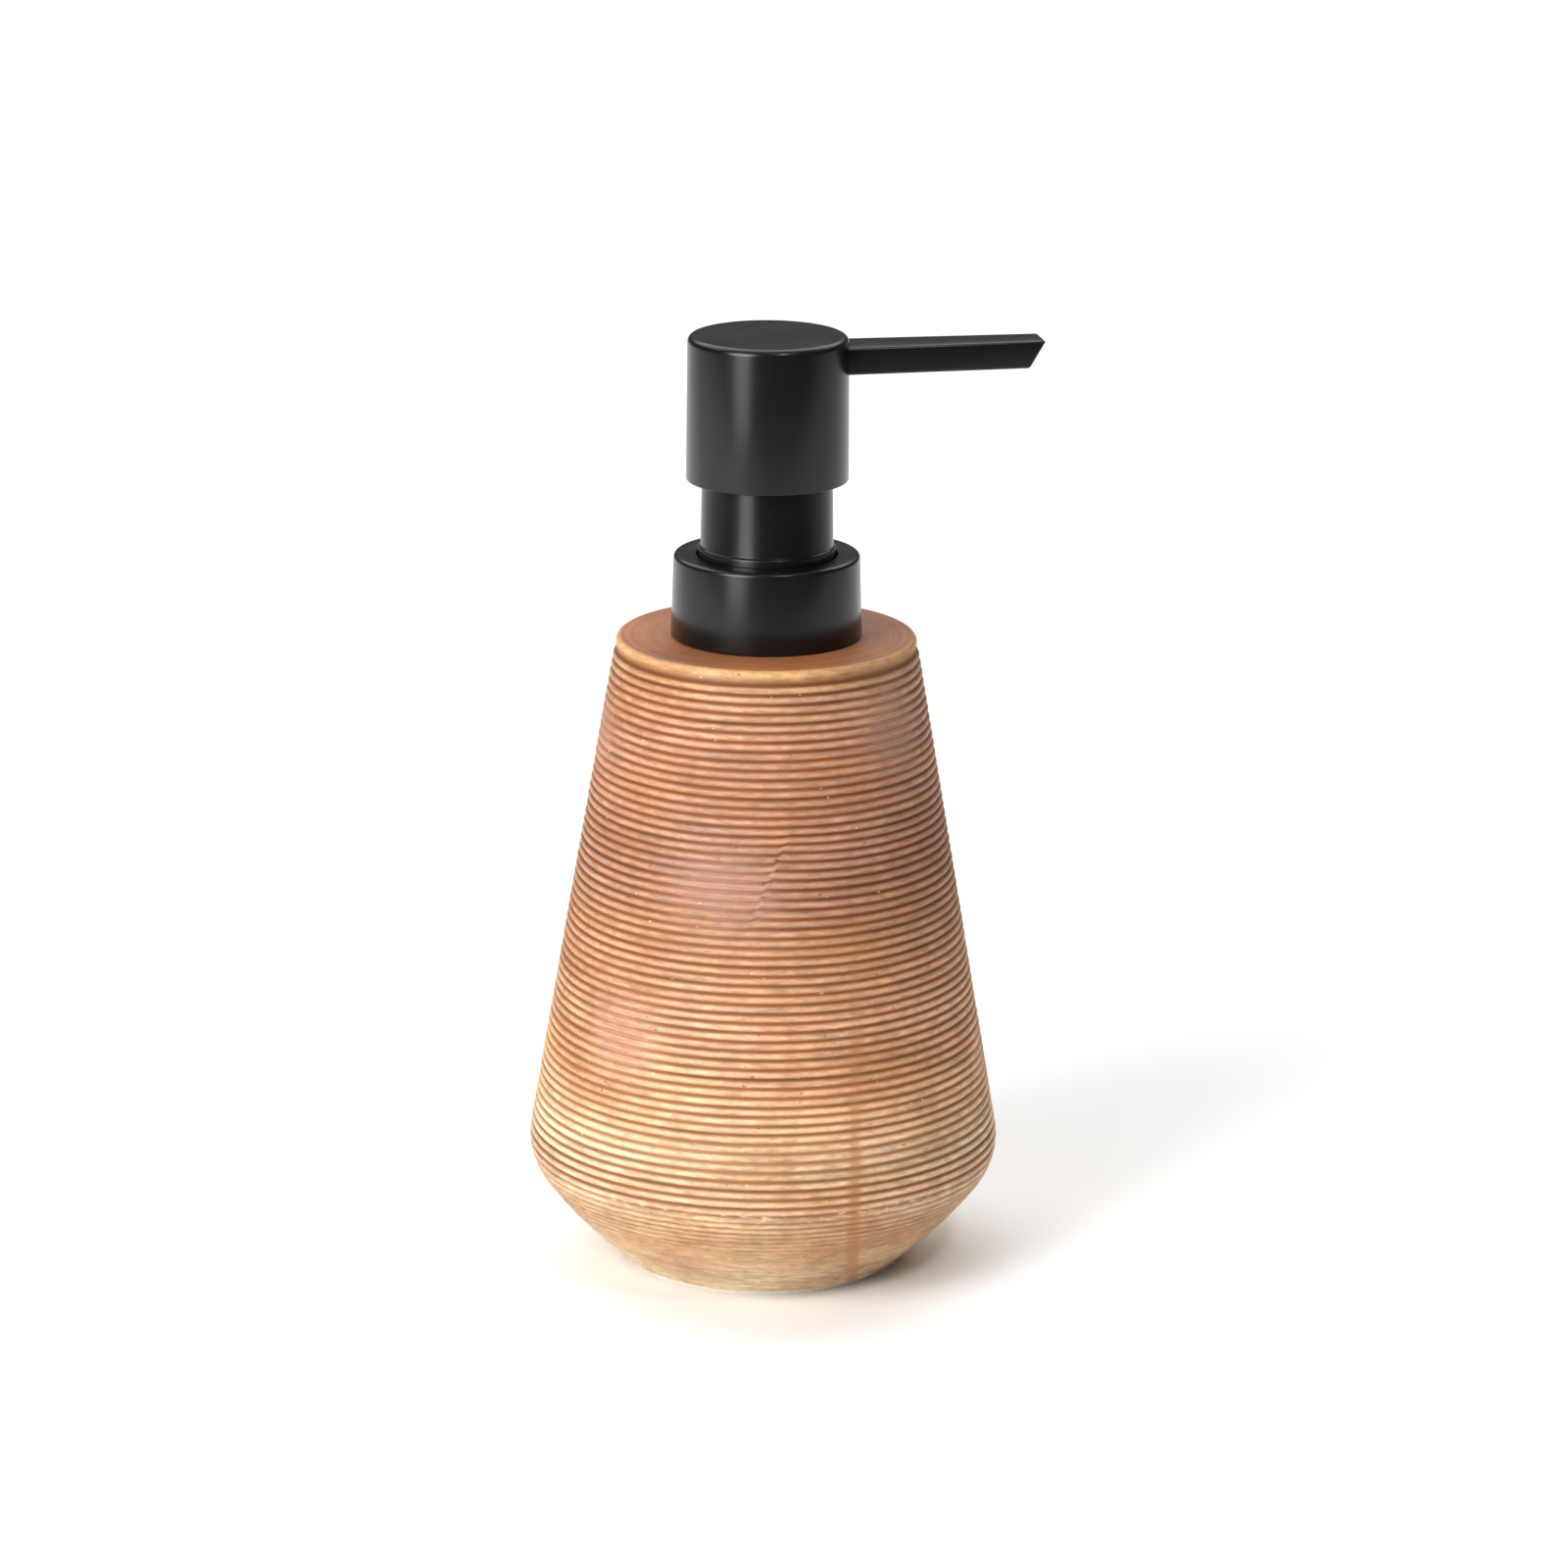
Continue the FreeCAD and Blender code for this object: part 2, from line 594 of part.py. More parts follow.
def spout_blank(gap=0.0):
    """The spout's arm, which narrows in plan, with its end still square; a gap makes it larger all round."""
    root = SPOUT_ROOT_WIDTH / 2 + gap
    tip = SPOUT_TIP_WIDTH / 2 + gap
    low = SPOUT_BOTTOM_Z - gap
    corners = [
        FreeCAD.Vector(SPOUT_ROOT_X, -root, low),
        FreeCAD.Vector(SPOUT_TIP_X, -tip, low),
        FreeCAD.Vector(SPOUT_TIP_X, tip, low),
        FreeCAD.Vector(SPOUT_ROOT_X, root, low),
        FreeCAD.Vector(SPOUT_ROOT_X, -root, low),
    ]
    height = SPOUT_TOP_Z - SPOUT_BOTTOM_Z + 2 * gap
    return Part.Face(Part.makePolygon(corners)).extrude(FreeCAD.Vector(0, 0, height))


def spout():
    """Flat arm with rounded long edges and an undercut end, bored for the liner."""
    corners = [
        FreeCAD.Vector(SPOUT_TIP_X, -SPOUT_ROOT_WIDTH, SPOUT_TOP_Z),
        FreeCAD.Vector(SPOUT_TIP_X - SPOUT_CUT, -SPOUT_ROOT_WIDTH, SPOUT_BOTTOM_Z),
        FreeCAD.Vector(SPOUT_TIP_X + SPOUT_CUT, -SPOUT_ROOT_WIDTH, SPOUT_BOTTOM_Z),
        FreeCAD.Vector(SPOUT_TIP_X, -SPOUT_ROOT_WIDTH, SPOUT_TOP_Z),
    ]
    undercut = Part.Face(Part.makePolygon(corners)).extrude(FreeCAD.Vector(0, 2 * SPOUT_ROOT_WIDTH, 0))
    arm = spout_blank().cut(undercut)
    middle_x = (SPOUT_ROOT_X + SPOUT_TIP_X) / 2
    sharp = [edge for edge in arm.Edges if max(v.X for v in edge.Vertexes) > middle_x]
    arm = arm.makeFillet(SPOUT_ROUND, sharp)
    return arm.cut(pipe_along_x(LINER_R + RUNNING, SPOUT_ROOT_X, SPOUT_TIP_X, channel_z()))


def spout_tube():
    """Liner from the core's chamber to just inside the spout's end."""
    fall = SPOUT_CUT * (SPOUT_TOP_Z - channel_z()) / (SPOUT_TOP_Z - SPOUT_BOTTOM_Z)
    end = SPOUT_TIP_X - fall - LINER_RECESS - LINER_R
    outside = pipe_along_x(LINER_R, LINER_START_X, end, channel_z())
    return outside.cut(pipe_along_x(LINER_BORE_R, LINER_START_X, end, channel_z()))


def head_shell():
    """Round cap that is pressed: slightly tapered, with a rounded top edge and a hole for the spout."""
    corner = HEAD_ROUND * (1 - math.sqrt(0.5))
    edges = [
        line((HEAD_BORE_R, HEAD_RIM_Z), (HEAD_LOW_R, HEAD_RIM_Z)),
        line((HEAD_LOW_R, HEAD_RIM_Z), (HEAD_HIGH_R, HEAD_TOP_Z - HEAD_ROUND)),
        arc(
            (HEAD_HIGH_R, HEAD_TOP_Z - HEAD_ROUND),
            (HEAD_HIGH_R - corner, HEAD_TOP_Z - corner),
            (HEAD_HIGH_R - HEAD_ROUND, HEAD_TOP_Z),
        ),
        line((HEAD_HIGH_R - HEAD_ROUND, HEAD_TOP_Z), (0, HEAD_TOP_Z)),
        line((0, HEAD_TOP_Z), (0, HEAD_CEILING_Z)),
        line((0, HEAD_CEILING_Z), (HEAD_BORE_R, HEAD_CEILING_Z)),
        line((HEAD_BORE_R, HEAD_CEILING_Z), (HEAD_BORE_R, HEAD_RIM_Z)),
    ]
    return spun(edges).cut(spout_blank(RUNNING))


PARTS = {
    "vessel": vessel,
    "foot_pad": foot_pad,
    "neck_bush": neck_bush,
    "bush_o_rings": bush_o_rings,
    "neck_gasket": neck_gasket,
    "pump_housing": pump_housing,
    "inlet_ball": inlet_ball,
    "ball_cage": ball_cage,
    "dip_tube": dip_tube,
    "neck_sleeve": neck_sleeve,
    "rod_guide": rod_guide,
    "screw_cap": screw_cap,
    "collar_shell": collar_shell,
    "piston_rod": piston_rod,
    "piston_seal": piston_seal,
    "outlet_ball": outlet_ball,
    "return_spring": return_spring,
    "stem": stem,
    "actuator_core": actuator_core,
    "spout": spout,
    "spout_tube": spout_tube,
    "head_shell": head_shell,
}

os.makedirs("parts", exist_ok=True)
for name, make in PARTS.items():
    shape = make()
    shape.exportStep(f"parts/{name}.step")
    print(f"{name}: {len(shape.Solids)} solid, valid {shape.isValid()}, {shape.Volume:.0f} mm3")
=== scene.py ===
# Soap pump dispenser: the look of each piece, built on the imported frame. Metres, +Z up, spout along +X.
import math

import bpy
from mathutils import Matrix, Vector, noise


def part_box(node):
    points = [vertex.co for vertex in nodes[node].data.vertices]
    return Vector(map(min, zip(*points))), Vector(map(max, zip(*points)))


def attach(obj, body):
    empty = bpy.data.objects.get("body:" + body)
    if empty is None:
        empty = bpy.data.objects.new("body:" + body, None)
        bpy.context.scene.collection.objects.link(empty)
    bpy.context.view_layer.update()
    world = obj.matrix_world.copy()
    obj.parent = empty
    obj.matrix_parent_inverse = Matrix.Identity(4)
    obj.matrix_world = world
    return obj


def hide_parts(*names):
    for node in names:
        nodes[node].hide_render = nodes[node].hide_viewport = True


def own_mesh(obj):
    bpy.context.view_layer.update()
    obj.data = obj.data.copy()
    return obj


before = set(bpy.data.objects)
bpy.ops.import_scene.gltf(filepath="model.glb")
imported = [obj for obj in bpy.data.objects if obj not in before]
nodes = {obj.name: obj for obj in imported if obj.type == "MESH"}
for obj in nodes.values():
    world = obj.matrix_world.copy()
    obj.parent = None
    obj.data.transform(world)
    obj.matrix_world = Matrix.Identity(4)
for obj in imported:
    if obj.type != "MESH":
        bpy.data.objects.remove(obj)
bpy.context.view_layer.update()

MM = 0.001


# ---- Studio ---------------------------------------------------------------------------------------
# A sheet of matt white card that greys towards the viewer and runs back as its own backdrop, a large
# softbox and a close strip on the left, soft lights overhead and behind, a small one high on the right.
# The camera looks slightly down with a long lens.
def srgb(code, alpha=1.0):
    """A hex colour such as 'e6b98f' as linear red, green, blue and alpha."""
    parts = [int(code[i:i + 2], 16) / 255 for i in (0, 2, 4)]
    linear = [c / 12.92 if c <= 0.04045 else ((c + 0.055) / 1.055) ** 2.4 for c in parts]
    return (*linear, alpha)


def put(tree, kind, inputs=None, **settings):
    """Adds a shader node, with its settings, its plain input values and its links."""
    node = tree.nodes.new(kind)
    for name, value in settings.items():
        setattr(node, name, value)
    for socket, value in (inputs or {}).items():
        if isinstance(value, bpy.types.NodeSocket):
            tree.links.new(value, node.inputs[socket])
        else:
            node.inputs[socket].default_value = value
    return node


def new_material(name):
    """An empty node material with its tree and Principled shader."""
    material = bpy.data.materials.new(name)
    material.use_nodes = True
    return material, material.node_tree, material.node_tree.nodes["Principled BSDF"]


CAMERA_AZIMUTH = math.radians(-10.5)
CAMERA_ELEVATION = math.radians(15.5)
CAMERA_DISTANCE = 1.180
CAMERA_AIM = Vector((0, 0, 0.0882))
CAMERA_LENS = 151.3
CAMERA_ROLL = math.radians(0.38)
CAMERA_SHIFT = 0.0119

back = Vector((
    math.sin(CAMERA_AZIMUTH) * math.cos(CAMERA_ELEVATION),
    -math.cos(CAMERA_AZIMUTH) * math.cos(CAMERA_ELEVATION),
    math.sin(CAMERA_ELEVATION),
))
bpy.ops.object.camera_add(location=CAMERA_AIM + back * CAMERA_DISTANCE)
camera = bpy.context.object
camera.rotation_euler = (-back).to_track_quat("-Z", "Y").to_euler()
camera.rotation_euler.rotate_axis("Z", CAMERA_ROLL)
camera.data.lens = CAMERA_LENS
camera.data.shift_x = CAMERA_SHIFT
bpy.context.scene.camera = camera
bpy.context.scene.view_settings.view_transform = "Standard"

FLOOR_SIZE = 14.0
GREY_SIDE = (math.sin(CAMERA_AZIMUTH), -math.cos(CAMERA_AZIMUTH), 0)
GREY_FROM = 0.15
GREY_TO = 0.45
bpy.ops.mesh.primitive_plane_add(size=FLOOR_SIZE, location=(0, 0, 0))
floor = bpy.context.object
floor.name = "table_top"
card, tree, shader = new_material("graduated_matt_card")
coords = put(tree, "ShaderNodeTexCoord").outputs["Object"]
mottle = put(tree, "ShaderNodeTexNoise", {"Vector": coords, "Scale": 3.0, "Detail": 2.0})
white = put(tree, "ShaderNodeMixRGB",
            {"Fac": mottle.outputs["Fac"], "Color1": srgb("fcfcfb"), "Color2": srgb("f8f7f5")})
forward = put(tree, "ShaderNodeVectorMath", {0: coords, 1: GREY_SIDE}, operation="DOT_PRODUCT")
fade = put(tree, "ShaderNodeMapRange",
           {"Value": forward.outputs["Value"], "From Min": GREY_FROM, "From Max": GREY_TO},
           interpolation_type="SMOOTHSTEP")
tint = put(tree, "ShaderNodeMixRGB",
           {"Fac": fade.outputs["Result"], "Color1": white.outputs["Color"], "Color2": srgb("7d7d7c")})
tree.links.new(tint.outputs["Color"], shader.inputs["Base Color"])
shader.inputs["Roughness"].default_value = 0.8
shader.inputs["Specular IOR Level"].default_value = 0.1
floor.data.materials.append(card)


def softbox(name, azimuth, elevation, distance, width, height, watts, target=CAMERA_AIM):
    """An area light facing its target, placed by angles measured from the camera's side."""
    turn = CAMERA_AZIMUTH + math.radians(azimuth)
    rise = math.radians(elevation)
    away = Vector((math.sin(turn) * math.cos(rise), -math.cos(turn) * math.cos(rise), math.sin(rise)))
    bpy.ops.object.light_add(type="AREA", location=target + away * distance)
    lamp = bpy.context.object
    lamp.name = name
    lamp.rotation_euler = (-away).to_track_quat("-Z", "Y").to_euler()
    lamp.data.shape = "RECTANGLE"
    lamp.data.size = width
    lamp.data.size_y = height
    lamp.data.energy = watts
    lamp.visible_camera = False


BACKDROP_AIM = Vector((0.2, 1.6, 0))
softbox("key_softbox", -40, 27, 1.3, 0.7, 0.9, 15.5)
softbox("strip_softbox", -36, 15, 0.46, 0.18, 0.42, 0.95)
softbox("overhead_softbox", 0, 86, 1.7, 1.6, 1.6, 5)
softbox("right_softbox", 26, 48, 1.4, 0.16, 0.16, 3.2)
softbox("backdrop_softbox", 0, 90, 1.6, 3.4, 2.6, 58, BACKDROP_AIM)

world = bpy.data.worlds.new("studio_air")
bpy.context.scene.world = world
world.use_nodes = True
world.node_tree.nodes["Background"].inputs["Color"].default_value = srgb("f4f6f8")
world.node_tree.nodes["Background"].inputs["Strength"].default_value = 0.12


# ---- Bottle ---------------------------------------------------------------------------------------
# Cast stone-filled resin, turned-wood finish: the ribs are in the mould, a brown stain is wiped over
# them so that it stays in the grooves, and the crests are rubbed back to tan.
def deselect():
    if bpy.context.object and bpy.context.object.mode != "OBJECT":
        bpy.ops.object.mode_set(mode="OBJECT")
    bpy.ops.object.select_all(action="DESELECT")


def turn(name, profile, steps, marks=None):
    """Turns a profile of (radius, height) points about the Z axis. marks gives named values along it."""
    deselect()
    start = Vector((profile[0][0], 0, profile[0][1]))
    bpy.ops.mesh.primitive_plane_add(size=MM, location=(0, 0, 0))
    piece = bpy.context.object
    piece.name = name
    bpy.ops.object.mode_set(mode="EDIT")
    bpy.ops.mesh.select_all(action="SELECT")
    bpy.ops.mesh.merge(type="CENTER")
    bpy.ops.transform.translate(value=start)
    for before, after in zip(profile, profile[1:]):
        step = (after[0] - before[0], 0, after[1] - before[1])
        bpy.ops.mesh.extrude_region_move(TRANSFORM_OT_translate={"value": step})
    bpy.ops.object.mode_set(mode="OBJECT")
    for mark, values in (marks or {}).items():
        piece.data.attributes.new(mark, "FLOAT", "POINT").data.foreach_set("value", values)
    bpy.ops.object.mode_set(mode="EDIT")
    bpy.ops.mesh.select_all(action="SELECT")
    bpy.ops.mesh.spin(steps=steps, angle=2 * math.pi, center=(0, 0, 0), axis=(0, 0, 1))
    bpy.ops.mesh.select_all(action="SELECT")
    bpy.ops.mesh.remove_doubles(threshold=0.002 * MM)
    bpy.ops.mesh.normals_make_consistent(inside=False)
    bpy.ops.object.mode_set(mode="OBJECT")
    return piece


def smooth(piece, angle=35):
    deselect()
    piece.select_set(True)
    bpy.context.view_layer.objects.active = piece
    bpy.ops.object.shade_smooth_by_angle(angle=math.radians(angle))


bottle_low, bottle_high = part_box("vessel")
SHOULDER_Z = bottle_high.z
FOOT_Z = bottle_low.z
SHOULDER_R = 26.8 * MM
RIM_ROUND = 1.0 * MM
CONE_LEAN = math.radians(9.6)
CONE_LENGTH = 92.2 * MM
BELLY_ROUND = 11.5 * MM
BELLY_END = math.radians(-37.0)
UNDER_ROUND = 78.0 * MM
FOOT_ROUND = 0.8 * MM
WALL = 4.5 * MM
MOUTH_R = 12.05 * MM
FLOOR_Z = 6.5 * MM
CEILING_Z = SHOULDER_Z - 9.0 * MM
FIRST_GROOVE = 2.6 * MM
RIB_PITCH = 1.645 * MM
RIB_COUNT = 57
GROOVE_DEPTH = 0.42 * MM
FINE_PITCH = 1.35 * MM
FINE_COUNT = 9
FINE_DEPTH = 0.16 * MM
CREST_INSET = 0.03 * MM
CREST_UNEVEN = 0.05 * MM
TURNING_STEPS = 224

cone_end = (SHOULDER_R + CONE_LENGTH * math.sin(CONE_LEAN), SHOULDER_Z - CONE_LENGTH * math.cos(CONE_LEAN))
belly = (cone_end[0] - BELLY_ROUND * math.cos(CONE_LEAN), cone_end[1] - BELLY_ROUND * math.sin(CONE_LEAN))
under_reach = UNDER_ROUND - BELLY_ROUND
under = (belly[0] - under_reach * math.cos(BELLY_END), belly[1] - under_reach * math.sin(BELLY_END))
BELLY_LENGTH = (CONE_LEAN - BELLY_END) * BELLY_ROUND


def wall_point(along, inset=0.0):
    """The point on the bottle's wall at a distance along it from the shoulder's corner, moved inwards."""
    if along <= CONE_LENGTH:
        radius = SHOULDER_R + along * math.sin(CONE_LEAN) - inset * math.cos(CONE_LEAN)
        return (radius, SHOULDER_Z - along * math.cos(CONE_LEAN) - inset * math.sin(CONE_LEAN))
    if along <= CONE_LENGTH + BELLY_LENGTH:
        angle = CONE_LEAN - (along - CONE_LENGTH) / BELLY_ROUND
        reach = BELLY_ROUND - inset
        return (belly[0] + reach * math.cos(angle), belly[1] + reach * math.sin(angle))
    angle = BELLY_END - (along - CONE_LENGTH - BELLY_LENGTH) / UNDER_ROUND
    reach = UNDER_ROUND - inset
    return (under[0] + reach * math.cos(angle), under[1] + reach * math.sin(angle))


# One rib across its pitch: how far along, and how deep below the crest as a share of the groove
RIB_SECTION = ((0.0, 1.0), (0.14, 0.72), (0.30, 0.22), (0.50, 0.0), (0.70, 0.22), (0.86, 0.72))


def uneven(value, seed):
    """A steady value between -1 and 1 for each rib, as a hand-cut master gives."""
    return noise.noise(Vector((value * 0.73, seed, 0.5)))


rows = []


def row(spot, groove=0.0, shoulder=0.0, inside=0.0, along=0.0):
    rows.append((spot, groove, shoulder, inside, along))


inner_reach = UNDER_ROUND - WALL
floor_angle = math.asin((FLOOR_Z - under[1]) / inner_reach)
FLOOR_FLAT_R = 12 * MM
row((0, FLOOR_Z), inside=1.0)
row((FLOOR_FLAT_R, FLOOR_Z), inside=1.0)
for part in range(4):
    angle = floor_angle + (BELLY_END - floor_angle) * part / 4
    row((under[0] + inner_reach * math.cos(angle), under[1] + inner_reach * math.sin(angle)), inside=1.0)
for part in range(5):
    row(wall_point(CONE_LENGTH + BELLY_LENGTH * (1 - part / 4), WALL), inside=1.0)
ceiling_along = (SHOULDER_Z - CEILING_Z - WALL * math.sin(CONE_LEAN)) / math.cos(CONE_LEAN)
row(wall_point(ceiling_along, WALL), inside=1.0)
row((MOUTH_R, CEILING_Z), inside=1.0)

MOUTH_ROUND = 0.4 * MM
row((MOUTH_R, SHOULDER_Z - MOUTH_ROUND), inside=1.0)
shoulder_edge = SHOULDER_R - RIM_ROUND
for part in range(9):
    reach = MOUTH_R + MOUTH_ROUND + (shoulder_edge - MOUTH_R - MOUTH_ROUND) * part / 8
    row((reach, SHOULDER_Z), shoulder=1.0)
for part in range(1, 5):
    angle = math.pi / 2 - (math.pi / 2 - CONE_LEAN) * part / 4
    out, up = RIM_ROUND * math.cos(angle), RIM_ROUND * math.sin(angle)
    row((shoulder_edge + out, SHOULDER_Z - RIM_ROUND + up), shoulder=max(0.0, 0.9 - 0.3 * part))

groove_at = FIRST_GROOVE
for number in range(RIB_COUNT + FINE_COUNT):
    fine = number >= RIB_COUNT
    pitch = (FINE_PITCH if fine else RIB_PITCH) * (1 + 0.07 * uneven(number, 1.5))
    fade = 1 - 0.75 * (number - RIB_COUNT) / FINE_COUNT if fine else 1
    depth = (FINE_DEPTH if fine else GROOVE_DEPTH) * fade * (1 + 0.3 * uneven(number, 7.5))
    crest = CREST_UNEVEN * uneven(number, 4.5)
    for share, sunk in RIB_SECTION:
        along = groove_at + pitch * share
        inset = CREST_INSET + depth * sunk - crest * (1 - sunk)
        row(wall_point(along, inset), groove=sunk * min(1.0, 1.6 * depth / GROOVE_DEPTH), along=along)
    groove_at += pitch
foot_angle = math.asin((FOOT_Z + FOOT_ROUND - under[1]) / UNDER_ROUND)
foot_along = CONE_LENGTH + BELLY_LENGTH + (BELLY_END - foot_angle) * UNDER_ROUND
BAND_ROWS = 7
for part in range(BAND_ROWS + 1):
    along = groove_at + (foot_along - groove_at) * part / BAND_ROWS
    row(wall_point(along), along=along)
foot_r = wall_point(foot_along)[0]
for part in range(1, 4):
    angle = math.pi / 2 * part / 3
    row((foot_r - FOOT_ROUND * (1 - math.cos(angle)), FOOT_Z + FOOT_ROUND * (1 - math.sin(angle))))
FOOT_FLAT_R = 20 * MM
row((FOOT_FLAT_R, FOOT_Z))
row((0, FOOT_Z))

bottle = turn("ribbed_bottle", [r[0] for r in rows], TURNING_STEPS, {
    "groove": [r[1] for r in rows],
    "shoulder": [r[2] for r in rows],
    "inside": [r[3] for r in rows],
    "along": [r[4] for r in rows],
})

# Places where the comb slipped: degrees round from the marked side, height, half width, half height
WORN_PLACES = (
    (-14, 77, 15, 6), (-42, 50, 10, 6), (51, 104, 13, 7), (148, 66, 9, 4), (112, 58, 16, 6),
    (168, 96, 22, 8), (-121, 84, 18, 6), (-158, 33, 14, 5), (84, 40, 9, 4), (-80, 100, 12, 5),
)
MARKS_TURN = math.radians(-10.5)
SLIP_AT = math.radians(1)
SLIP_LEAN = math.radians(0.75) / MM
SLIP_HEIGHT = 79 * MM
SLIP_REACH = 8 * MM
SLIP = 0.55 * MM
SLIP_SPREAD = math.radians(18)
WAVER = 0.11 * MM
DENT = 0.035 * MM


def worn(azimuth, height):
    """How far the ribs are rubbed away at a place, from 0 to 1."""
    most = 0.0
    for turned, middle, half_width, half_height in WORN_PLACES:
        away = math.remainder(azimuth - math.radians(turned), 2 * math.pi) / math.radians(half_width)
        above = (height - middle * MM) / (half_height * MM)
        most = max(most, math.exp(-away * away - above * above))
    return most


mesh = bottle.data
groove = mesh.attributes["groove"].data
patch = mesh.attributes.new("patch", "FLOAT", "POINT").data
for index, vertex in enumerate(mesh.vertices):
    spot = vertex.co
    reach = math.hypot(spot.x, spot.y)
    if mesh.attributes["along"].data[index].value == 0:
        continue
    azimuth = math.atan2(spot.x, -spot.y) - MARKS_TURN
    outwards = Vector((spot.x / reach, spot.y / reach, 0))
    grain = 0.5 + 0.5 * noise.noise(Vector((outwards.x * 9, outwards.y * 9, spot.z / (1.1 * MM))))
    rubbed = min(1.0, 1.5 * worn(azimuth, spot.z) * (0.35 + grain))
    patch[index].value = rubbed
    lift = 0.8 * rubbed * groove[index].value * GROOVE_DEPTH
    lift -= DENT * (0.5 + 0.5 * noise.noise(spot / (1.3 * MM))) * (1 - groove[index].value)
    waver = WAVER * noise.noise(Vector((outwards.x * 1.6, outwards.y * 1.6, spot.z / (7 * MM))))
    over = spot.z - SLIP_HEIGHT
    past = math.remainder(azimuth - SLIP_AT - over * SLIP_LEAN, 2 * math.pi)
    if past > 0:
        waver += SLIP * math.exp(-past / SLIP_SPREAD - (over / SLIP_REACH) ** 4)
    vertex.co = spot + outwards * lift + Vector((0, 0, waver))
smooth(bottle, 60)

resin, tree, shader = new_material("stained_cast_resin")
coords = put(tree, "ShaderNodeTexCoord").outputs["Object"]
height = put(tree, "ShaderNodeSeparateXYZ", {"Vector": coords}).outputs["Z"]
in_groove = put(tree, "ShaderNodeAttribute", attribute_name="groove").outputs["Fac"]
on_shoulder = put(tree, "ShaderNodeAttribute", attribute_name="shoulder").outputs["Fac"]
is_inside = put(tree, "ShaderNodeAttribute", attribute_name="inside").outputs["Fac"]
is_worn = put(tree, "ShaderNodeAttribute", attribute_name="patch").outputs["Fac"]
along_wall = put(tree, "ShaderNodeAttribute", attribute_name="along").outputs["Fac"]


def ramp(tree, source, stops, interpolation="LINEAR"):
    """A colour ramp from (position, colour) stops, on a value."""
    node = put(tree, "ShaderNodeValToRGB", {"Fac": source})
    node.color_ramp.interpolation = interpolation
    while len(node.color_ramp.elements) < len(stops):
        node.color_ramp.elements.new(0.5)
    for element, (position, colour) in zip(node.color_ramp.elements, stops):
        element.position = position
        element.color = colour
    return node.outputs["Color"]


def grey(level):
    return (level, level, level, 1)


# Rubbed crests: pale gold at the foot, cream at the belly, pinkish brown above, tan at the shoulder
rise = put(tree, "ShaderNodeMapRange", {"Value": height, "From Min": FOOT_Z, "From Max": SHOULDER_Z})
CREST_COLOURS = (
    (0.00, "d6c09f"), (0.05, "d0b490"), (0.09, "c9a680"), (0.13, "c8a57f"), (0.16, "d6b592"),
    (0.19, "e8c2a5"), (0.23, "f3d6b4"), (0.30, "efc09d"), (0.37, "ebb894"), (0.44, "e5b597"),
    (0.51, "d5a586"), (0.60, "be9476"), (0.68, "b88e77"), (0.78, "bf947b"), (0.88, "c2967c"),
    (0.95, "c8a080"), (0.985, "c79c74"), (1.00, "d2a878"),
)
GROOVE_COLOURS = (
    (0.00, "9a6d4a"), (0.06, "875938"), (0.14, "7a4220"), (0.20, "835930"), (0.26, "98734d"),
    (0.34, "8a5e35"), (0.42, "7e5129"), (0.50, "7f502a"), (0.57, "7f4e27"), (0.68, "6a3a1d"),
    (0.80, "7c4725"), (0.92, "7d4624"), (1.00, "663b1b"),
)
crest = ramp(tree, rise.outputs["Result"], [(at, srgb(code)) for at, code in CREST_COLOURS], "EASE")
groove_stain = ramp(tree, rise.outputs["Result"], [(at, srgb(code)) for at, code in GROOVE_COLOURS], "EASE")

# Cloudy stain, about 25 mm across, pulled a little round the bottle
cloud_space = put(tree, "ShaderNodeMapping",
                  {"Vector": coords, "Scale": (1 / (30 * MM), 1 / (30 * MM), 1 / (14 * MM))})
clouds = put(tree, "ShaderNodeTexNoise",
             {"Vector": cloud_space.outputs["Vector"], "Scale": 1.0, "Detail": 4.0, "Roughness": 0.6})
cloud_mask = ramp(tree, clouds.outputs["Fac"], [(0.44, grey(0)), (0.66, grey(0.62))])
crest = put(tree, "ShaderNodeMixRGB",
            {"Fac": cloud_mask, "Color1": crest, "Color2": srgb("ab7a54")}).outputs["Color"]

# Stain left lying along single ribs, 20 mm long and one rib high
dash_space = put(tree, "ShaderNodeMapping",
                 {"Vector": coords, "Scale": (1 / (16 * MM), 1 / (16 * MM), 1 / (1.5 * MM))})
dashes = put(tree, "ShaderNodeTexNoise",
             {"Vector": dash_space.outputs["Vector"], "Scale": 1.0, "Detail": 3.0, "Roughness": 0.55})
dash_tone = ramp(tree, dashes.outputs["Fac"], [(0.30, grey(0.74)), (0.52, grey(1.0)), (0.75, grey(1.12))])
crest = put(tree, "ShaderNodeMixRGB", {"Fac": 0.9, "Color1": crest, "Color2": dash_tone},
            blend_type="MULTIPLY").outputs["Color"]

# Short grain like turned wood, 3 mm long and half a millimetre high
grain_space = put(tree, "ShaderNodeMapping",
                  {"Vector": coords, "Scale": (1 / (2.6 * MM), 1 / (2.6 * MM), 1 / (0.6 * MM))})
grain = put(tree, "ShaderNodeTexNoise",
            {"Vector": grain_space.outputs["Vector"], "Scale": 1.0, "Detail": 3.0, "Roughness": 0.65})
grain_tone = ramp(tree, grain.outputs["Fac"], [(0.32, grey(0.70)), (0.5, grey(1.0)), (0.67, grey(1.27))])
crest = put(tree, "ShaderNodeMixRGB", {"Fac": 0.9, "Color1": crest, "Color2": grain_tone},
            blend_type="MULTIPLY").outputs["Color"]

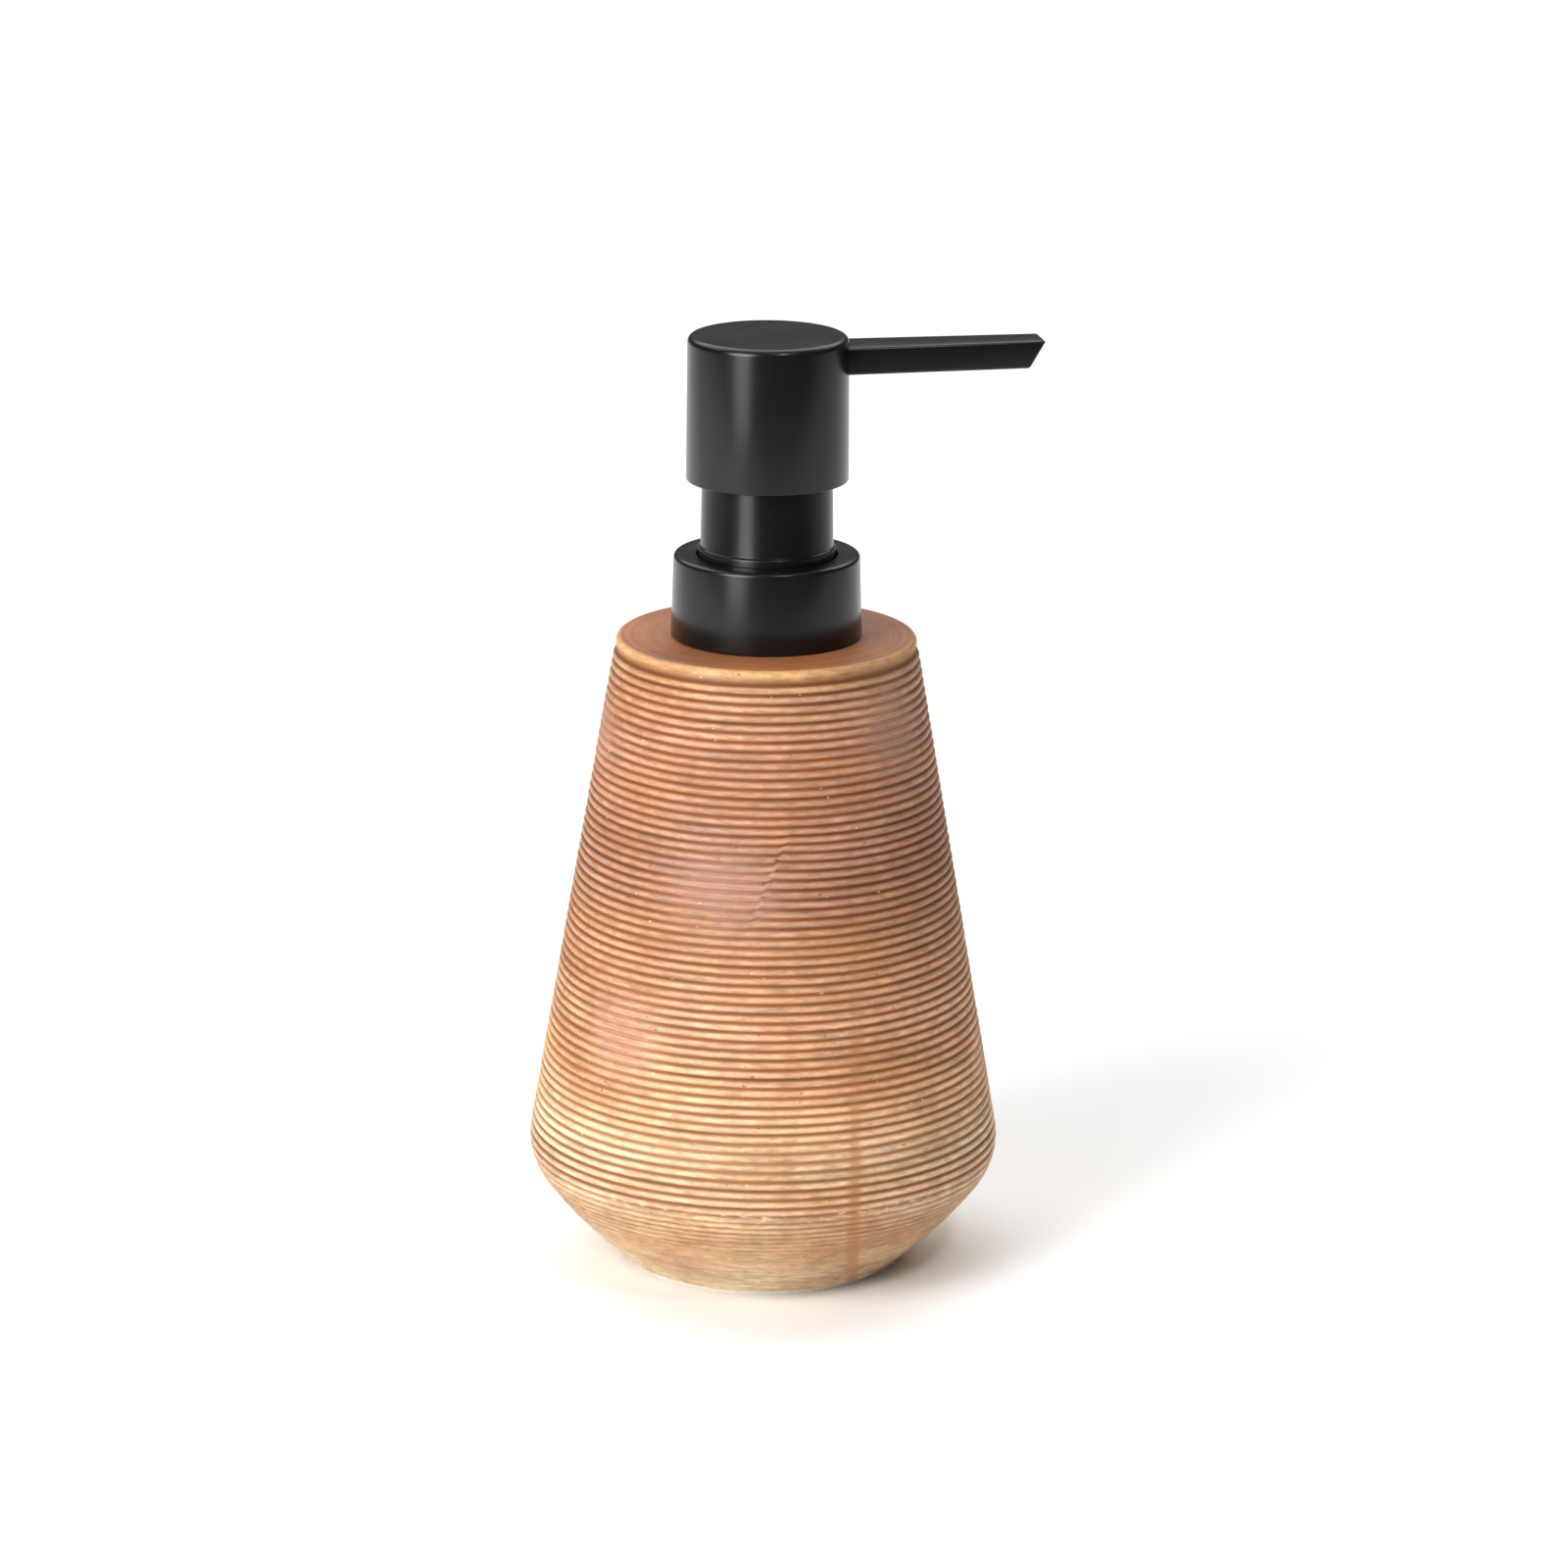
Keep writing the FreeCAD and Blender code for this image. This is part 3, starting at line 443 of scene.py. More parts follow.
# Upright runs of thin stain, 3 mm wide and several centimetres long
run_space = put(tree, "ShaderNodeMapping",
                {"Vector": coords, "Scale": (1 / (3.5 * MM), 1 / (3.5 * MM), 1 / (60 * MM))})
runs = put(tree, "ShaderNodeTexNoise",
           {"Vector": run_space.outputs["Vector"], "Scale": 1.0, "Detail": 2.0, "Roughness": 0.5})
run_tone = ramp(tree, runs.outputs["Fac"], [(0.34, grey(0.90)), (0.5, grey(1.0)), (0.7, grey(1.04))])
crest = put(tree, "ShaderNodeMixRGB", {"Fac": 0.9, "Color1": crest, "Color2": run_tone},
            blend_type="MULTIPLY").outputs["Color"]

# Stain in the grooves, darker where it pooled, thinner where the ribs are worn
pool_tone = ramp(tree, dashes.outputs["Fac"], [(0.32, grey(0.80)), (0.50, grey(1.0)), (0.68, grey(1.20))])
pool = put(tree, "ShaderNodeMixRGB", {"Fac": 0.9, "Color1": groove_stain, "Color2": pool_tone},
           blend_type="MULTIPLY").outputs["Color"]
pool_mask = ramp(tree, in_groove, [(0.05, grey(0)), (0.45, grey(0.5)), (0.85, grey(1.0))])
thin = put(tree, "ShaderNodeMath", {0: is_worn, 1: -0.45}, operation="MULTIPLY").outputs[0]
thin = put(tree, "ShaderNodeMath", {0: thin, 1: 1.0}, operation="ADD").outputs[0]
pool_share = put(tree, "ShaderNodeMath", {0: pool_mask, 1: thin}, operation="MULTIPLY").outputs[0]
wall = put(tree, "ShaderNodeMixRGB", {"Fac": pool_share, "Color1": crest, "Color2": pool}).outputs["Color"]

# Greyer where the ribs are worn, with fine comb marks, about three to a rib
wear_share = put(tree, "ShaderNodeMath", {0: is_worn, 1: 0.4}, operation="MULTIPLY").outputs[0]
wall = put(tree, "ShaderNodeMixRGB",
           {"Fac": wear_share, "Color1": wall, "Color2": srgb("a47c70")}).outputs["Color"]
comb = put(tree, "ShaderNodeMath",
           {0: along_wall, 1: 2 * math.pi / (0.62 * MM)}, operation="MULTIPLY").outputs[0]
comb = put(tree, "ShaderNodeMath", {0: comb}, operation="SINE").outputs[0]
comb_mask = put(tree, "ShaderNodeMath", {0: is_worn, 1: comb}, operation="MULTIPLY").outputs[0]
comb_share = put(tree, "ShaderNodeMath",
                 {0: comb_mask, 1: 0.45}, operation="MULTIPLY", use_clamp=True).outputs[0]
wall = put(tree, "ShaderNodeMixRGB",
           {"Fac": comb_share, "Color1": wall, "Color2": srgb("8f5f45")}).outputs["Color"]

# Pale chips and dark specks, under a millimetre
chip_space = put(tree, "ShaderNodeMapping",
                 {"Vector": coords, "Scale": (1 / (1.6 * MM), 1 / (1.6 * MM), 1 / (0.7 * MM))})
chips = put(tree, "ShaderNodeTexNoise",
            {"Vector": chip_space.outputs["Vector"], "Scale": 1.0, "Detail": 1.0, "Roughness": 0.5})
chip_mask = ramp(tree, chips.outputs["Fac"], [(0.78, grey(0)), (0.81, grey(0.7))])
wall = put(tree, "ShaderNodeMixRGB",
           {"Fac": chip_mask, "Color1": wall, "Color2": srgb("f3dcc0")}).outputs["Color"]
speck_mask = ramp(tree, chips.outputs["Fac"], [(0.215, grey(0.8)), (0.245, grey(0))])
wall = put(tree, "ShaderNodeMixRGB",
           {"Fac": speck_mask, "Color1": wall, "Color2": srgb("6e4a34")}).outputs["Color"]

# One run of stain down the marked side's right, 2 mm wide, stronger low down
RUN_OFFSET = 16.9 * MM
rightwards = (math.cos(MARKS_TURN), math.sin(MARKS_TURN), 0)
sideways = put(tree, "ShaderNodeVectorMath",
               {0: coords, 1: rightwards}, operation="DOT_PRODUCT").outputs["Value"]
off_run = put(tree, "ShaderNodeMath", {0: sideways, 1: -RUN_OFFSET}, operation="ADD").outputs[0]
off_run = put(tree, "ShaderNodeMath",
              {0: runs.outputs["Fac"], 1: 1.5 * MM, 2: off_run}, operation="MULTIPLY_ADD").outputs[0]
off_run = put(tree, "ShaderNodeMath", {0: off_run}, operation="ABSOLUTE").outputs[0]
run_core = put(tree, "ShaderNodeMapRange", {
    "Value": off_run, "From Min": 0.4 * MM, "From Max": 1.7 * MM, "To Min": 1.0, "To Max": 0.0,
}, interpolation_type="SMOOTHSTEP").outputs["Result"]
frontwards = (math.sin(MARKS_TURN), -math.cos(MARKS_TURN), 0)
facing = put(tree, "ShaderNodeVectorMath",
             {0: coords, 1: frontwards}, operation="DOT_PRODUCT").outputs["Value"]
in_front = put(tree, "ShaderNodeMath", {0: facing, 1: 0.0}, operation="GREATER_THAN").outputs[0]
run_height = ramp(tree, rise.outputs["Result"], [(0.12, grey(0.6)), (0.42, grey(0.35)), (0.64, grey(0))])
run_mask = put(tree, "ShaderNodeMath", {0: run_core, 1: in_front}, operation="MULTIPLY").outputs[0]
run_mask = put(tree, "ShaderNodeMath", {0: run_mask, 1: run_height}, operation="MULTIPLY").outputs[0]
wall = put(tree, "ShaderNodeMixRGB",
           {"Fac": run_mask, "Color1": wall, "Color2": srgb("a8704a")}).outputs["Color"]

# A broken line of pale chips where the coarse ribs end
LAST_RIB = FIRST_GROOVE + RIB_COUNT * RIB_PITCH
chip_line = put(tree, "ShaderNodeMath",
                {0: along_wall, 1: LAST_RIB + 0.6 * MM, 2: 0.9 * MM}, operation="COMPARE").outputs[0]
chip_dashes = ramp(tree, grain.outputs["Fac"], [(0.56, grey(0)), (0.64, grey(0.6))])
chip_row = put(tree, "ShaderNodeMath", {0: chip_line, 1: chip_dashes}, operation="MULTIPLY").outputs[0]
wall = put(tree, "ShaderNodeMixRGB",
           {"Fac": chip_row, "Color1": wall, "Color2": srgb("ecd0a8")}).outputs["Color"]

# Flat shoulder: an even brown wash over faint turning marks
level = put(tree, "ShaderNodeMapping", {"Vector": coords, "Scale": (1, 1, 0)}).outputs["Vector"]
reach = put(tree, "ShaderNodeVectorMath", {0: level}, operation="LENGTH").outputs["Value"]
turning = put(tree, "ShaderNodeTexNoise", {"W": reach, "Scale": 1 / (0.9 * MM), "Detail": 2.0},
              noise_dimensions="1D").outputs["Fac"]
wash = ramp(tree, clouds.outputs["Fac"], [(0.35, srgb("a8704c")), (0.65, srgb("8b5b40"))])
wash_tone = ramp(tree, turning, [(0.3, grey(0.76)), (0.7, grey(1.12))])
wash = put(tree, "ShaderNodeMixRGB", {"Fac": 0.8, "Color1": wash, "Color2": wash_tone},
           blend_type="MULTIPLY").outputs["Color"]
wall = put(tree, "ShaderNodeMixRGB", {"Fac": on_shoulder, "Color1": wall, "Color2": wash}).outputs["Color"]
bare = ramp(tree, clouds.outputs["Fac"], [(0.3, srgb("b99a7c")), (0.7, srgb("cbb094"))])
wall = put(tree, "ShaderNodeMixRGB", {"Fac": is_inside, "Color1": wall, "Color2": bare}).outputs["Color"]
rich = put(tree, "ShaderNodeHueSaturation", {"Saturation": 1.08, "Value": 0.99, "Color": wall})
tree.links.new(rich.outputs["Color"], shader.inputs["Base Color"])

# Rubbed satin: brush marks round the bottle, a quarter of a millimetre apart, and fine casting grain
brush_space = put(tree, "ShaderNodeMapping",
                  {"Vector": coords, "Scale": (1 / (8 * MM), 1 / (8 * MM), 1 / (0.3 * MM))})
brush = put(tree, "ShaderNodeTexNoise", {
    "Vector": brush_space.outputs["Vector"], "Scale": 1.0, "Detail": 2.0, "Roughness": 0.6,
}).outputs["Fac"]
cast = put(tree, "ShaderNodeTexNoise",
           {"Vector": coords, "Scale": 1 / (0.5 * MM), "Detail": 2.0}).outputs["Fac"]
relief = put(tree, "ShaderNodeMath", {0: brush, 1: cast}, operation="ADD").outputs[0]
comb_relief = put(tree, "ShaderNodeMath",
                  {0: comb_mask, 1: -0.5, 2: relief}, operation="MULTIPLY_ADD").outputs[0]
turn_relief = put(tree, "ShaderNodeMath", {0: on_shoulder, 1: turning, 2: comb_relief},
                  operation="MULTIPLY_ADD").outputs[0]
bump = put(tree, "ShaderNodeBump", {"Height": turn_relief, "Strength": 0.5, "Distance": 0.06 * MM})
tree.links.new(bump.outputs["Normal"], shader.inputs["Normal"])
satin = put(tree, "ShaderNodeMapRange",
            {"Value": brush, "From Min": 0.3, "From Max": 0.7, "To Min": 0.44, "To Max": 0.62})
dull = put(tree, "ShaderNodeMath",
           {0: in_groove, 1: 0.2, 2: satin.outputs["Result"]}, operation="MULTIPLY_ADD")
tree.links.new(dull.outputs[0], shader.inputs["Roughness"])
shader.inputs["IOR"].default_value = 1.5
bottle.data.materials.append(resin)
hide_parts("vessel")
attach(bottle, "bottle")


# ---- Foot pad -------------------------------------------------------------------------------------
# A disc of cream EVA foam, die cut and glued under the bottle. Its edge is soft and bulges a little
# under the weight; only a thin line of it shows.
pad_low, pad_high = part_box("foot_pad")
PAD_BULGE = 0.10 * MM
PAD_SOFT = 0.25 * MM
PAD_GLUE_GAP = 0.02 * MM

pad_top = pad_high.z - PAD_GLUE_GAP
pad_middle = (pad_low.z + pad_top) / 2
pad = turn("foam_foot_pad", [
    (0, pad_low.z),
    (pad_high.x - PAD_SOFT, pad_low.z),
    (pad_high.x - PAD_SOFT / 4, pad_low.z + PAD_SOFT / 4),
    (pad_high.x, pad_low.z + PAD_SOFT),
    (pad_high.x + PAD_BULGE, pad_middle),
    (pad_high.x, pad_top - PAD_SOFT),
    (pad_high.x - PAD_SOFT / 4, pad_top - PAD_SOFT / 4),
    (pad_high.x - PAD_SOFT, pad_top),
    (0, pad_top),
], 144)
smooth(pad, 50)

foam, tree, shader = new_material("cream_eva_foam")
coords = put(tree, "ShaderNodeTexCoord").outputs["Object"]
cells = put(tree, "ShaderNodeTexVoronoi", {"Vector": coords, "Scale": 1 / (0.35 * MM)})
# Painted shade: the cream is painted darker down in each cell's dimple, where the bump sinks lowest,
# lighter on the cell walls
cell_tone_with_pit_shade = ramp(tree, cells.outputs["Distance"], [(0.0, srgb("d9cdb6")), (0.5, srgb("efe6d4"))])
tree.links.new(cell_tone_with_pit_shade, shader.inputs["Base Color"])
dimples = put(tree, "ShaderNodeBump",
              {"Height": cells.outputs["Distance"], "Strength": 0.5, "Distance": 0.08 * MM})
tree.links.new(dimples.outputs["Normal"], shader.inputs["Normal"])
shader.inputs["Roughness"].default_value = 0.85
shader.inputs["Specular IOR Level"].default_value = 0.3
pad.data.materials.append(foam)
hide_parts("foot_pad")
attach(pad, "bottle")


# ---- Collar ---------------------------------------------------------------------------------------
# The closure's outer ring: black ABS, injection moulded with a fine satin texture, pressed over the
# threaded inner cap. It turns when the pump is screwed off.
def bend(centre, radius, start, end, parts=5):
    """Points of an arc in a profile, between two directions in degrees; 0 points outwards, 90 up."""
    turns = [math.radians(start + (end - start) * part / parts) for part in range(parts + 1)]
    return [(centre[0] + radius * math.cos(t), centre[1] + radius * math.sin(t)) for t in turns]


def satin_plastic(name, base, worn, roughness, grain):
    """Moulded plastic: the mould's fine texture, and a sheen and tone that are very slightly cloudy."""
    material, tree, shader = new_material(name)
    coords = put(tree, "ShaderNodeTexCoord").outputs["Object"]
    haze = put(tree, "ShaderNodeTexNoise",
               {"Vector": coords, "Scale": 1 / (12 * MM), "Detail": 2.0, "Roughness": 0.5})
    tone = put(tree, "ShaderNodeMixRGB",
               {"Fac": haze.outputs["Fac"], "Color1": srgb(base), "Color2": srgb(worn)})
    tree.links.new(tone.outputs["Color"], shader.inputs["Base Color"])
    sheen = put(tree, "ShaderNodeMapRange", {
        "Value": haze.outputs["Fac"], "From Min": 0.3, "From Max": 0.7,
        "To Min": roughness - 0.02, "To Max": roughness + 0.03,
    })
    tree.links.new(sheen.outputs["Result"], shader.inputs["Roughness"])
    texture = put(tree, "ShaderNodeTexNoise", {"Vector": coords, "Scale": 1 / (0.16 * MM), "Detail": 1.0})
    swell = put(tree, "ShaderNodeTexNoise", {"Vector": coords, "Scale": 1 / (14 * MM), "Detail": 0.0})
    fine = put(tree, "ShaderNodeBump",
               {"Height": texture.outputs["Fac"], "Strength": grain, "Distance": 0.012 * MM})
    sink = put(tree, "ShaderNodeBump", {
        "Height": swell.outputs["Fac"], "Strength": 0.05, "Distance": 0.2 * MM,
        "Normal": fine.outputs["Normal"],
    })
    tree.links.new(sink.outputs["Normal"], shader.inputs["Normal"])
    shader.inputs["Specular IOR Level"].default_value = 0.36
    return material


black_plastic = satin_plastic("black_satin_abs", "0d0d0e", "101011", 0.245, 0.2)

collar_low, collar_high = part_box("collar_shell")
COLLAR_R = collar_high.x
COLLAR_TOP_R = 16.58 * MM
COLLAR_BORE_R = 15.4 * MM
COLLAR_HOLE_R = 12.5 * MM
PLATE = 1.2 * MM
COLLAR_ROUND = 0.75 * MM
HEM_ROUND = 0.25 * MM

collar = turn("threaded_collar", [
    (COLLAR_BORE_R, collar_low.z),
    *bend((COLLAR_R - HEM_ROUND, collar_low.z + HEM_ROUND), HEM_ROUND, -90, 0, 3),
    *bend((COLLAR_TOP_R - COLLAR_ROUND, collar_high.z - COLLAR_ROUND), COLLAR_ROUND, 0, 90, 6),
    *bend((COLLAR_HOLE_R + HEM_ROUND, collar_high.z - HEM_ROUND), HEM_ROUND, 90, 180, 3),
    (COLLAR_HOLE_R, collar_high.z - PLATE),
    (COLLAR_BORE_R, collar_high.z - PLATE),
    (COLLAR_BORE_R, collar_low.z),
], 192)
smooth(collar, 40)
collar.data.materials.append(black_plastic)
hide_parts("collar_shell")
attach(collar, "closure")


# ---- Neck sleeve ----------------------------------------------------------------------------------
# Fixed cylinder between the collar and the head, snapped on the pump: black ABS, the same satin, with
# a low stepped flange at its foot and a slight taper so that it leaves the mould.
sleeve_low, sleeve_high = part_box("neck_sleeve")
SLEEVE_BASE_R = sleeve_high.x
SLEEVE_BASE_TOP_Z = 132.3 * MM
SLEEVE_LOW_R = 11.8 * MM
SLEEVE_HIGH_R = 11.6 * MM
SLEEVE_BORE_R = 10.4 * MM
SPIGOT_HOLE_R = 7.95 * MM
GUIDE_HOLE_R = 5.25 * MM
SLEEVE_ROUND = 0.45 * MM
STEP_ROUND = 0.2 * MM

sleeve = turn("neck_cylinder", [
    (SPIGOT_HOLE_R, sleeve_low.z),
    (SLEEVE_BASE_R, sleeve_low.z),
    *bend((SLEEVE_BASE_R - SLEEVE_ROUND, SLEEVE_BASE_TOP_Z - SLEEVE_ROUND), SLEEVE_ROUND, 0, 80, 5),
    *bend((SLEEVE_LOW_R + STEP_ROUND, SLEEVE_BASE_TOP_Z + STEP_ROUND), STEP_ROUND, 260, 180, 3),
    *bend((SLEEVE_HIGH_R - SLEEVE_ROUND, sleeve_high.z - SLEEVE_ROUND), SLEEVE_ROUND, 0, 90, 5),
    (GUIDE_HOLE_R, sleeve_high.z),
    (GUIDE_HOLE_R, sleeve_high.z - PLATE),
    (SLEEVE_BORE_R, sleeve_high.z - PLATE),
    (SLEEVE_BORE_R, sleeve_low.z + PLATE),
    (SPIGOT_HOLE_R, sleeve_low.z + PLATE),
    (SPIGOT_HOLE_R, sleeve_low.z),
], 160)
smooth(sleeve, 40)
sleeve.data.materials.append(black_plastic)
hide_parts("neck_sleeve")
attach(sleeve, "pump")


# ---- Head -----------------------------------------------------------------------------------------
# The cap that is pressed: black ABS with the same satin, slightly tapered for the mould, its top edge
# rounded, open underneath, with a close hole in its side for the spout.
head_low, head_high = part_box("head_shell")
HEAD_R = 14.42 * MM
HEAD_TOP_R = 14.27 * MM
HEAD_BORE_R = 13.0 * MM
HEAD_CEILING_Z = head_high.z - 1.6 * MM
HEAD_ROUND = 1.2 * MM
HEAD_DIP = 0.05 * MM
RIM_SOFT = 0.22 * MM
SPOUT_GAP = 0.05 * MM

head = turn("press_head", [
    (0, HEAD_CEILING_Z),
    (HEAD_BORE_R, HEAD_CEILING_Z),
    (HEAD_BORE_R, head_low.z),
    *bend((HEAD_R - RIM_SOFT, head_low.z + RIM_SOFT), RIM_SOFT, -90, 0, 3),
    *bend((HEAD_TOP_R - HEAD_ROUND, head_high.z - HEAD_ROUND), HEAD_ROUND, 0, 90, 8),
    (HEAD_TOP_R - 3 * HEAD_ROUND, head_high.z - HEAD_DIP / 4),
    (HEAD_TOP_R - 7 * HEAD_ROUND, head_high.z - HEAD_DIP * 3 / 4),
    (0, head_high.z - HEAD_DIP),
], 192)


def shaped_bar(name, start, end, half_root, half_tip, low, high):
    """A bar along +X from a cube, narrowed in plan from root to tip."""
    deselect()
    bpy.ops.mesh.primitive_cube_add(size=1, location=((start + end) / 2, 0, (low + high) / 2))
    bar = bpy.context.object
    bar.name = name
    bar.scale = (end - start, 2 * half_root, high - low)
    bpy.ops.object.transform_apply(location=True, rotation=True, scale=True)
    narrow = half_tip / half_root
    pick(bar, lambda spot: spot.x > (start + end) / 2)
    bpy.ops.transform.resize(value=(1, narrow, 1))
    bpy.ops.object.mode_set(mode="OBJECT")
    return bar


def pick(piece, wanted):
    """Opens a piece for editing with the vertices selected that are at wanted places."""
    deselect()
    piece.select_set(True)
    bpy.context.view_layer.objects.active = piece
    bpy.ops.object.mode_set(mode="EDIT")
    bpy.ops.mesh.select_mode(type="VERT")
    bpy.ops.mesh.select_all(action="DESELECT")
    bpy.ops.object.mode_set(mode="OBJECT")
    for vertex in piece.data.vertices:
        vertex.select = wanted(vertex.co)
    bpy.ops.object.mode_set(mode="EDIT")


def apply_modifier(piece, kind, **settings):
    """Adds a modifier with its settings and applies it."""
    deselect()
    piece.select_set(True)
    bpy.context.view_layer.objects.active = piece
    bpy.ops.object.modifier_add(type=kind)
    modifier = piece.modifiers[-1]
    for name, value in settings.items():
        setattr(modifier, name, value)
    bpy.ops.object.modifier_apply(modifier=modifier.name)


def cut_away(piece, cutter):
    """Takes the cutter's shape out of a piece and removes the cutter."""
    apply_modifier(piece, "BOOLEAN", operation="DIFFERENCE", solver="EXACT", object=cutter)
    bpy.data.objects.remove(cutter)


spout_low, spout_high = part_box("spout")
SPOUT_ROOT_HALF = 4.6 * MM
SPOUT_TIP_HALF = 3.7 * MM

cutter = shaped_bar("spout_hole", spout_low.x, spout_high.x, SPOUT_ROOT_HALF + SPOUT_GAP,
                    SPOUT_TIP_HALF + SPOUT_GAP, spout_low.z - SPOUT_GAP, spout_high.z + SPOUT_GAP)
cut_away(head, cutter)
smooth(head, 30)
head.data.materials.append(black_plastic)
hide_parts("head_shell")
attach(head, "head")


# ---- Spout ----------------------------------------------------------------------------------------
# Flat arm of black ABS, narrower towards the tip, all long edges rounded, its end cut back under so
# that drops fall from the upper lip. A hole in the end shows the liner that carries the soap.
SPOUT_CUT = 2.9 * MM
SPOUT_ROUND = 0.5 * MM
OUTLET_R = 1.55 * MM

spout = shaped_bar("spout_arm", spout_low.x, spout_high.x, SPOUT_ROOT_HALF, SPOUT_TIP_HALF,
                   spout_low.z, spout_high.z)
pick(spout, lambda spot: spot.x > spout_high.x - MM and spot.z < spout_low.z + MM)
bpy.ops.transform.translate(value=(-SPOUT_CUT, 0, 0))
bpy.ops.object.mode_set(mode="OBJECT")
apply_modifier(spout, "BEVEL", width=SPOUT_ROUND, segments=5, limit_method="ANGLE",
               angle_limit=math.radians(30))
outlet_z = (spout_low.z + spout_high.z) / 2
bpy.ops.mesh.primitive_cylinder_add(
    vertices=48, radius=OUTLET_R, depth=spout_high.x, rotation=(0, math.pi / 2, 0),
    location=(spout_low.x + spout_high.x / 2 + 0.5 * MM, 0, outlet_z),
)
bore = bpy.context.object
cut_away(spout, bore)
smooth(spout, 35)
spout.data.materials.append(black_plastic)
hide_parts("spout")
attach(spout, "head")


def milky_plastic(name, tint, roughness, clear):
    """Unpigmented moulded plastic: slightly see-through, with flow marks from the mould."""
    material, tree, shader = new_material(name)
    coords = put(tree, "ShaderNodeTexCoord").outputs["Object"]
    stretch = put(tree, "ShaderNodeMapping", {
        "Vector": coords, "Scale": (1 / (3 * MM), 1 / (3 * MM), 1 / (12 * MM)),
    }).outputs["Vector"]
    flow = put(tree, "ShaderNodeTexNoise",
               {"Vector": stretch, "Scale": 1.0, "Detail": 3.0, "Distortion": 0.6})
    tone = put(tree, "ShaderNodeMixRGB",
               {"Fac": flow.outputs["Fac"], "Color1": srgb(tint), "Color2": srgb("ffffff")})
    tree.links.new(tone.outputs["Color"], shader.inputs["Base Color"])
    sheen = put(tree, "ShaderNodeMapRange", {
        "Value": flow.outputs["Fac"], "To Min": roughness - 0.05, "To Max": roughness + 0.08,
    })
    tree.links.new(sheen.outputs["Result"], shader.inputs["Roughness"])
    ripple = put(tree, "ShaderNodeBump",
                 {"Height": flow.outputs["Fac"], "Strength": 0.3, "Distance": 0.08 * MM})
    tree.links.new(ripple.outputs["Normal"], shader.inputs["Normal"])
    shader.inputs["Transmission Weight"].default_value = clear
    shader.inputs["Subsurface Weight"].default_value = 0.25
    shader.inputs["Subsurface Radius"].default_value = (2 * MM, 2 * MM, 2 * MM)
    shader.inputs["Subsurface Scale"].default_value = 1.0
    shader.inputs["IOR"].default_value = 1.49
    return material


def soft_seal(name, dark, light, roughness, grain_size):
    """Rubber or foam with a fine pitted surface and faint bloom."""
    material, tree, shader = new_material(name)
    coords = put(tree, "ShaderNodeTexCoord").outputs["Object"]
    pits = put(tree, "ShaderNodeTexVoronoi", {"Vector": coords, "Scale": 1 / grain_size})
    bloom = put(tree, "ShaderNodeTexNoise", {"Vector": coords, "Scale": 1 / (5 * MM), "Detail": 3.0})
    tone = put(tree, "ShaderNodeMixRGB",
               {"Fac": bloom.outputs["Fac"], "Color1": srgb(dark), "Color2": srgb(light)})
    tree.links.new(tone.outputs["Color"], shader.inputs["Base Color"])
    pitted = put(tree, "ShaderNodeBump",
                 {"Height": pits.outputs["Distance"], "Strength": 0.4, "Distance": 0.05 * MM})
    tree.links.new(pitted.outputs["Normal"], shader.inputs["Normal"])
    shader.inputs["Roughness"].default_value = roughness
    return material


def drawn_steel(name):
    """Stainless steel of the balls and the wire: bright, with fine polishing marks."""
    material, tree, shader = new_material(name)
    coords = put(tree, "ShaderNodeTexCoord").outputs["Object"]
    lines = put(tree, "ShaderNodeTexNoise", {"Vector": coords, "Scale": 1 / (0.12 * MM), "Detail": 2.0})
    tone = ramp(tree, lines.outputs["Fac"], [(0.3, srgb("b9babb")), (0.7, srgb("d6d6d4"))])
    tree.links.new(tone, shader.inputs["Base Color"])
    polish = put(tree, "ShaderNodeMapRange",
                 {"Value": lines.outputs["Fac"], "To Min": 0.14, "To Max": 0.30})
    tree.links.new(polish.outputs["Result"], shader.inputs["Roughness"])
    scored = put(tree, "ShaderNodeBump",
                 {"Height": lines.outputs["Fac"], "Strength": 0.2, "Distance": 0.01 * MM})
    tree.links.new(scored.outputs["Normal"], shader.inputs["Normal"])
    shader.inputs["Metallic"].default_value = 1.0
    return material


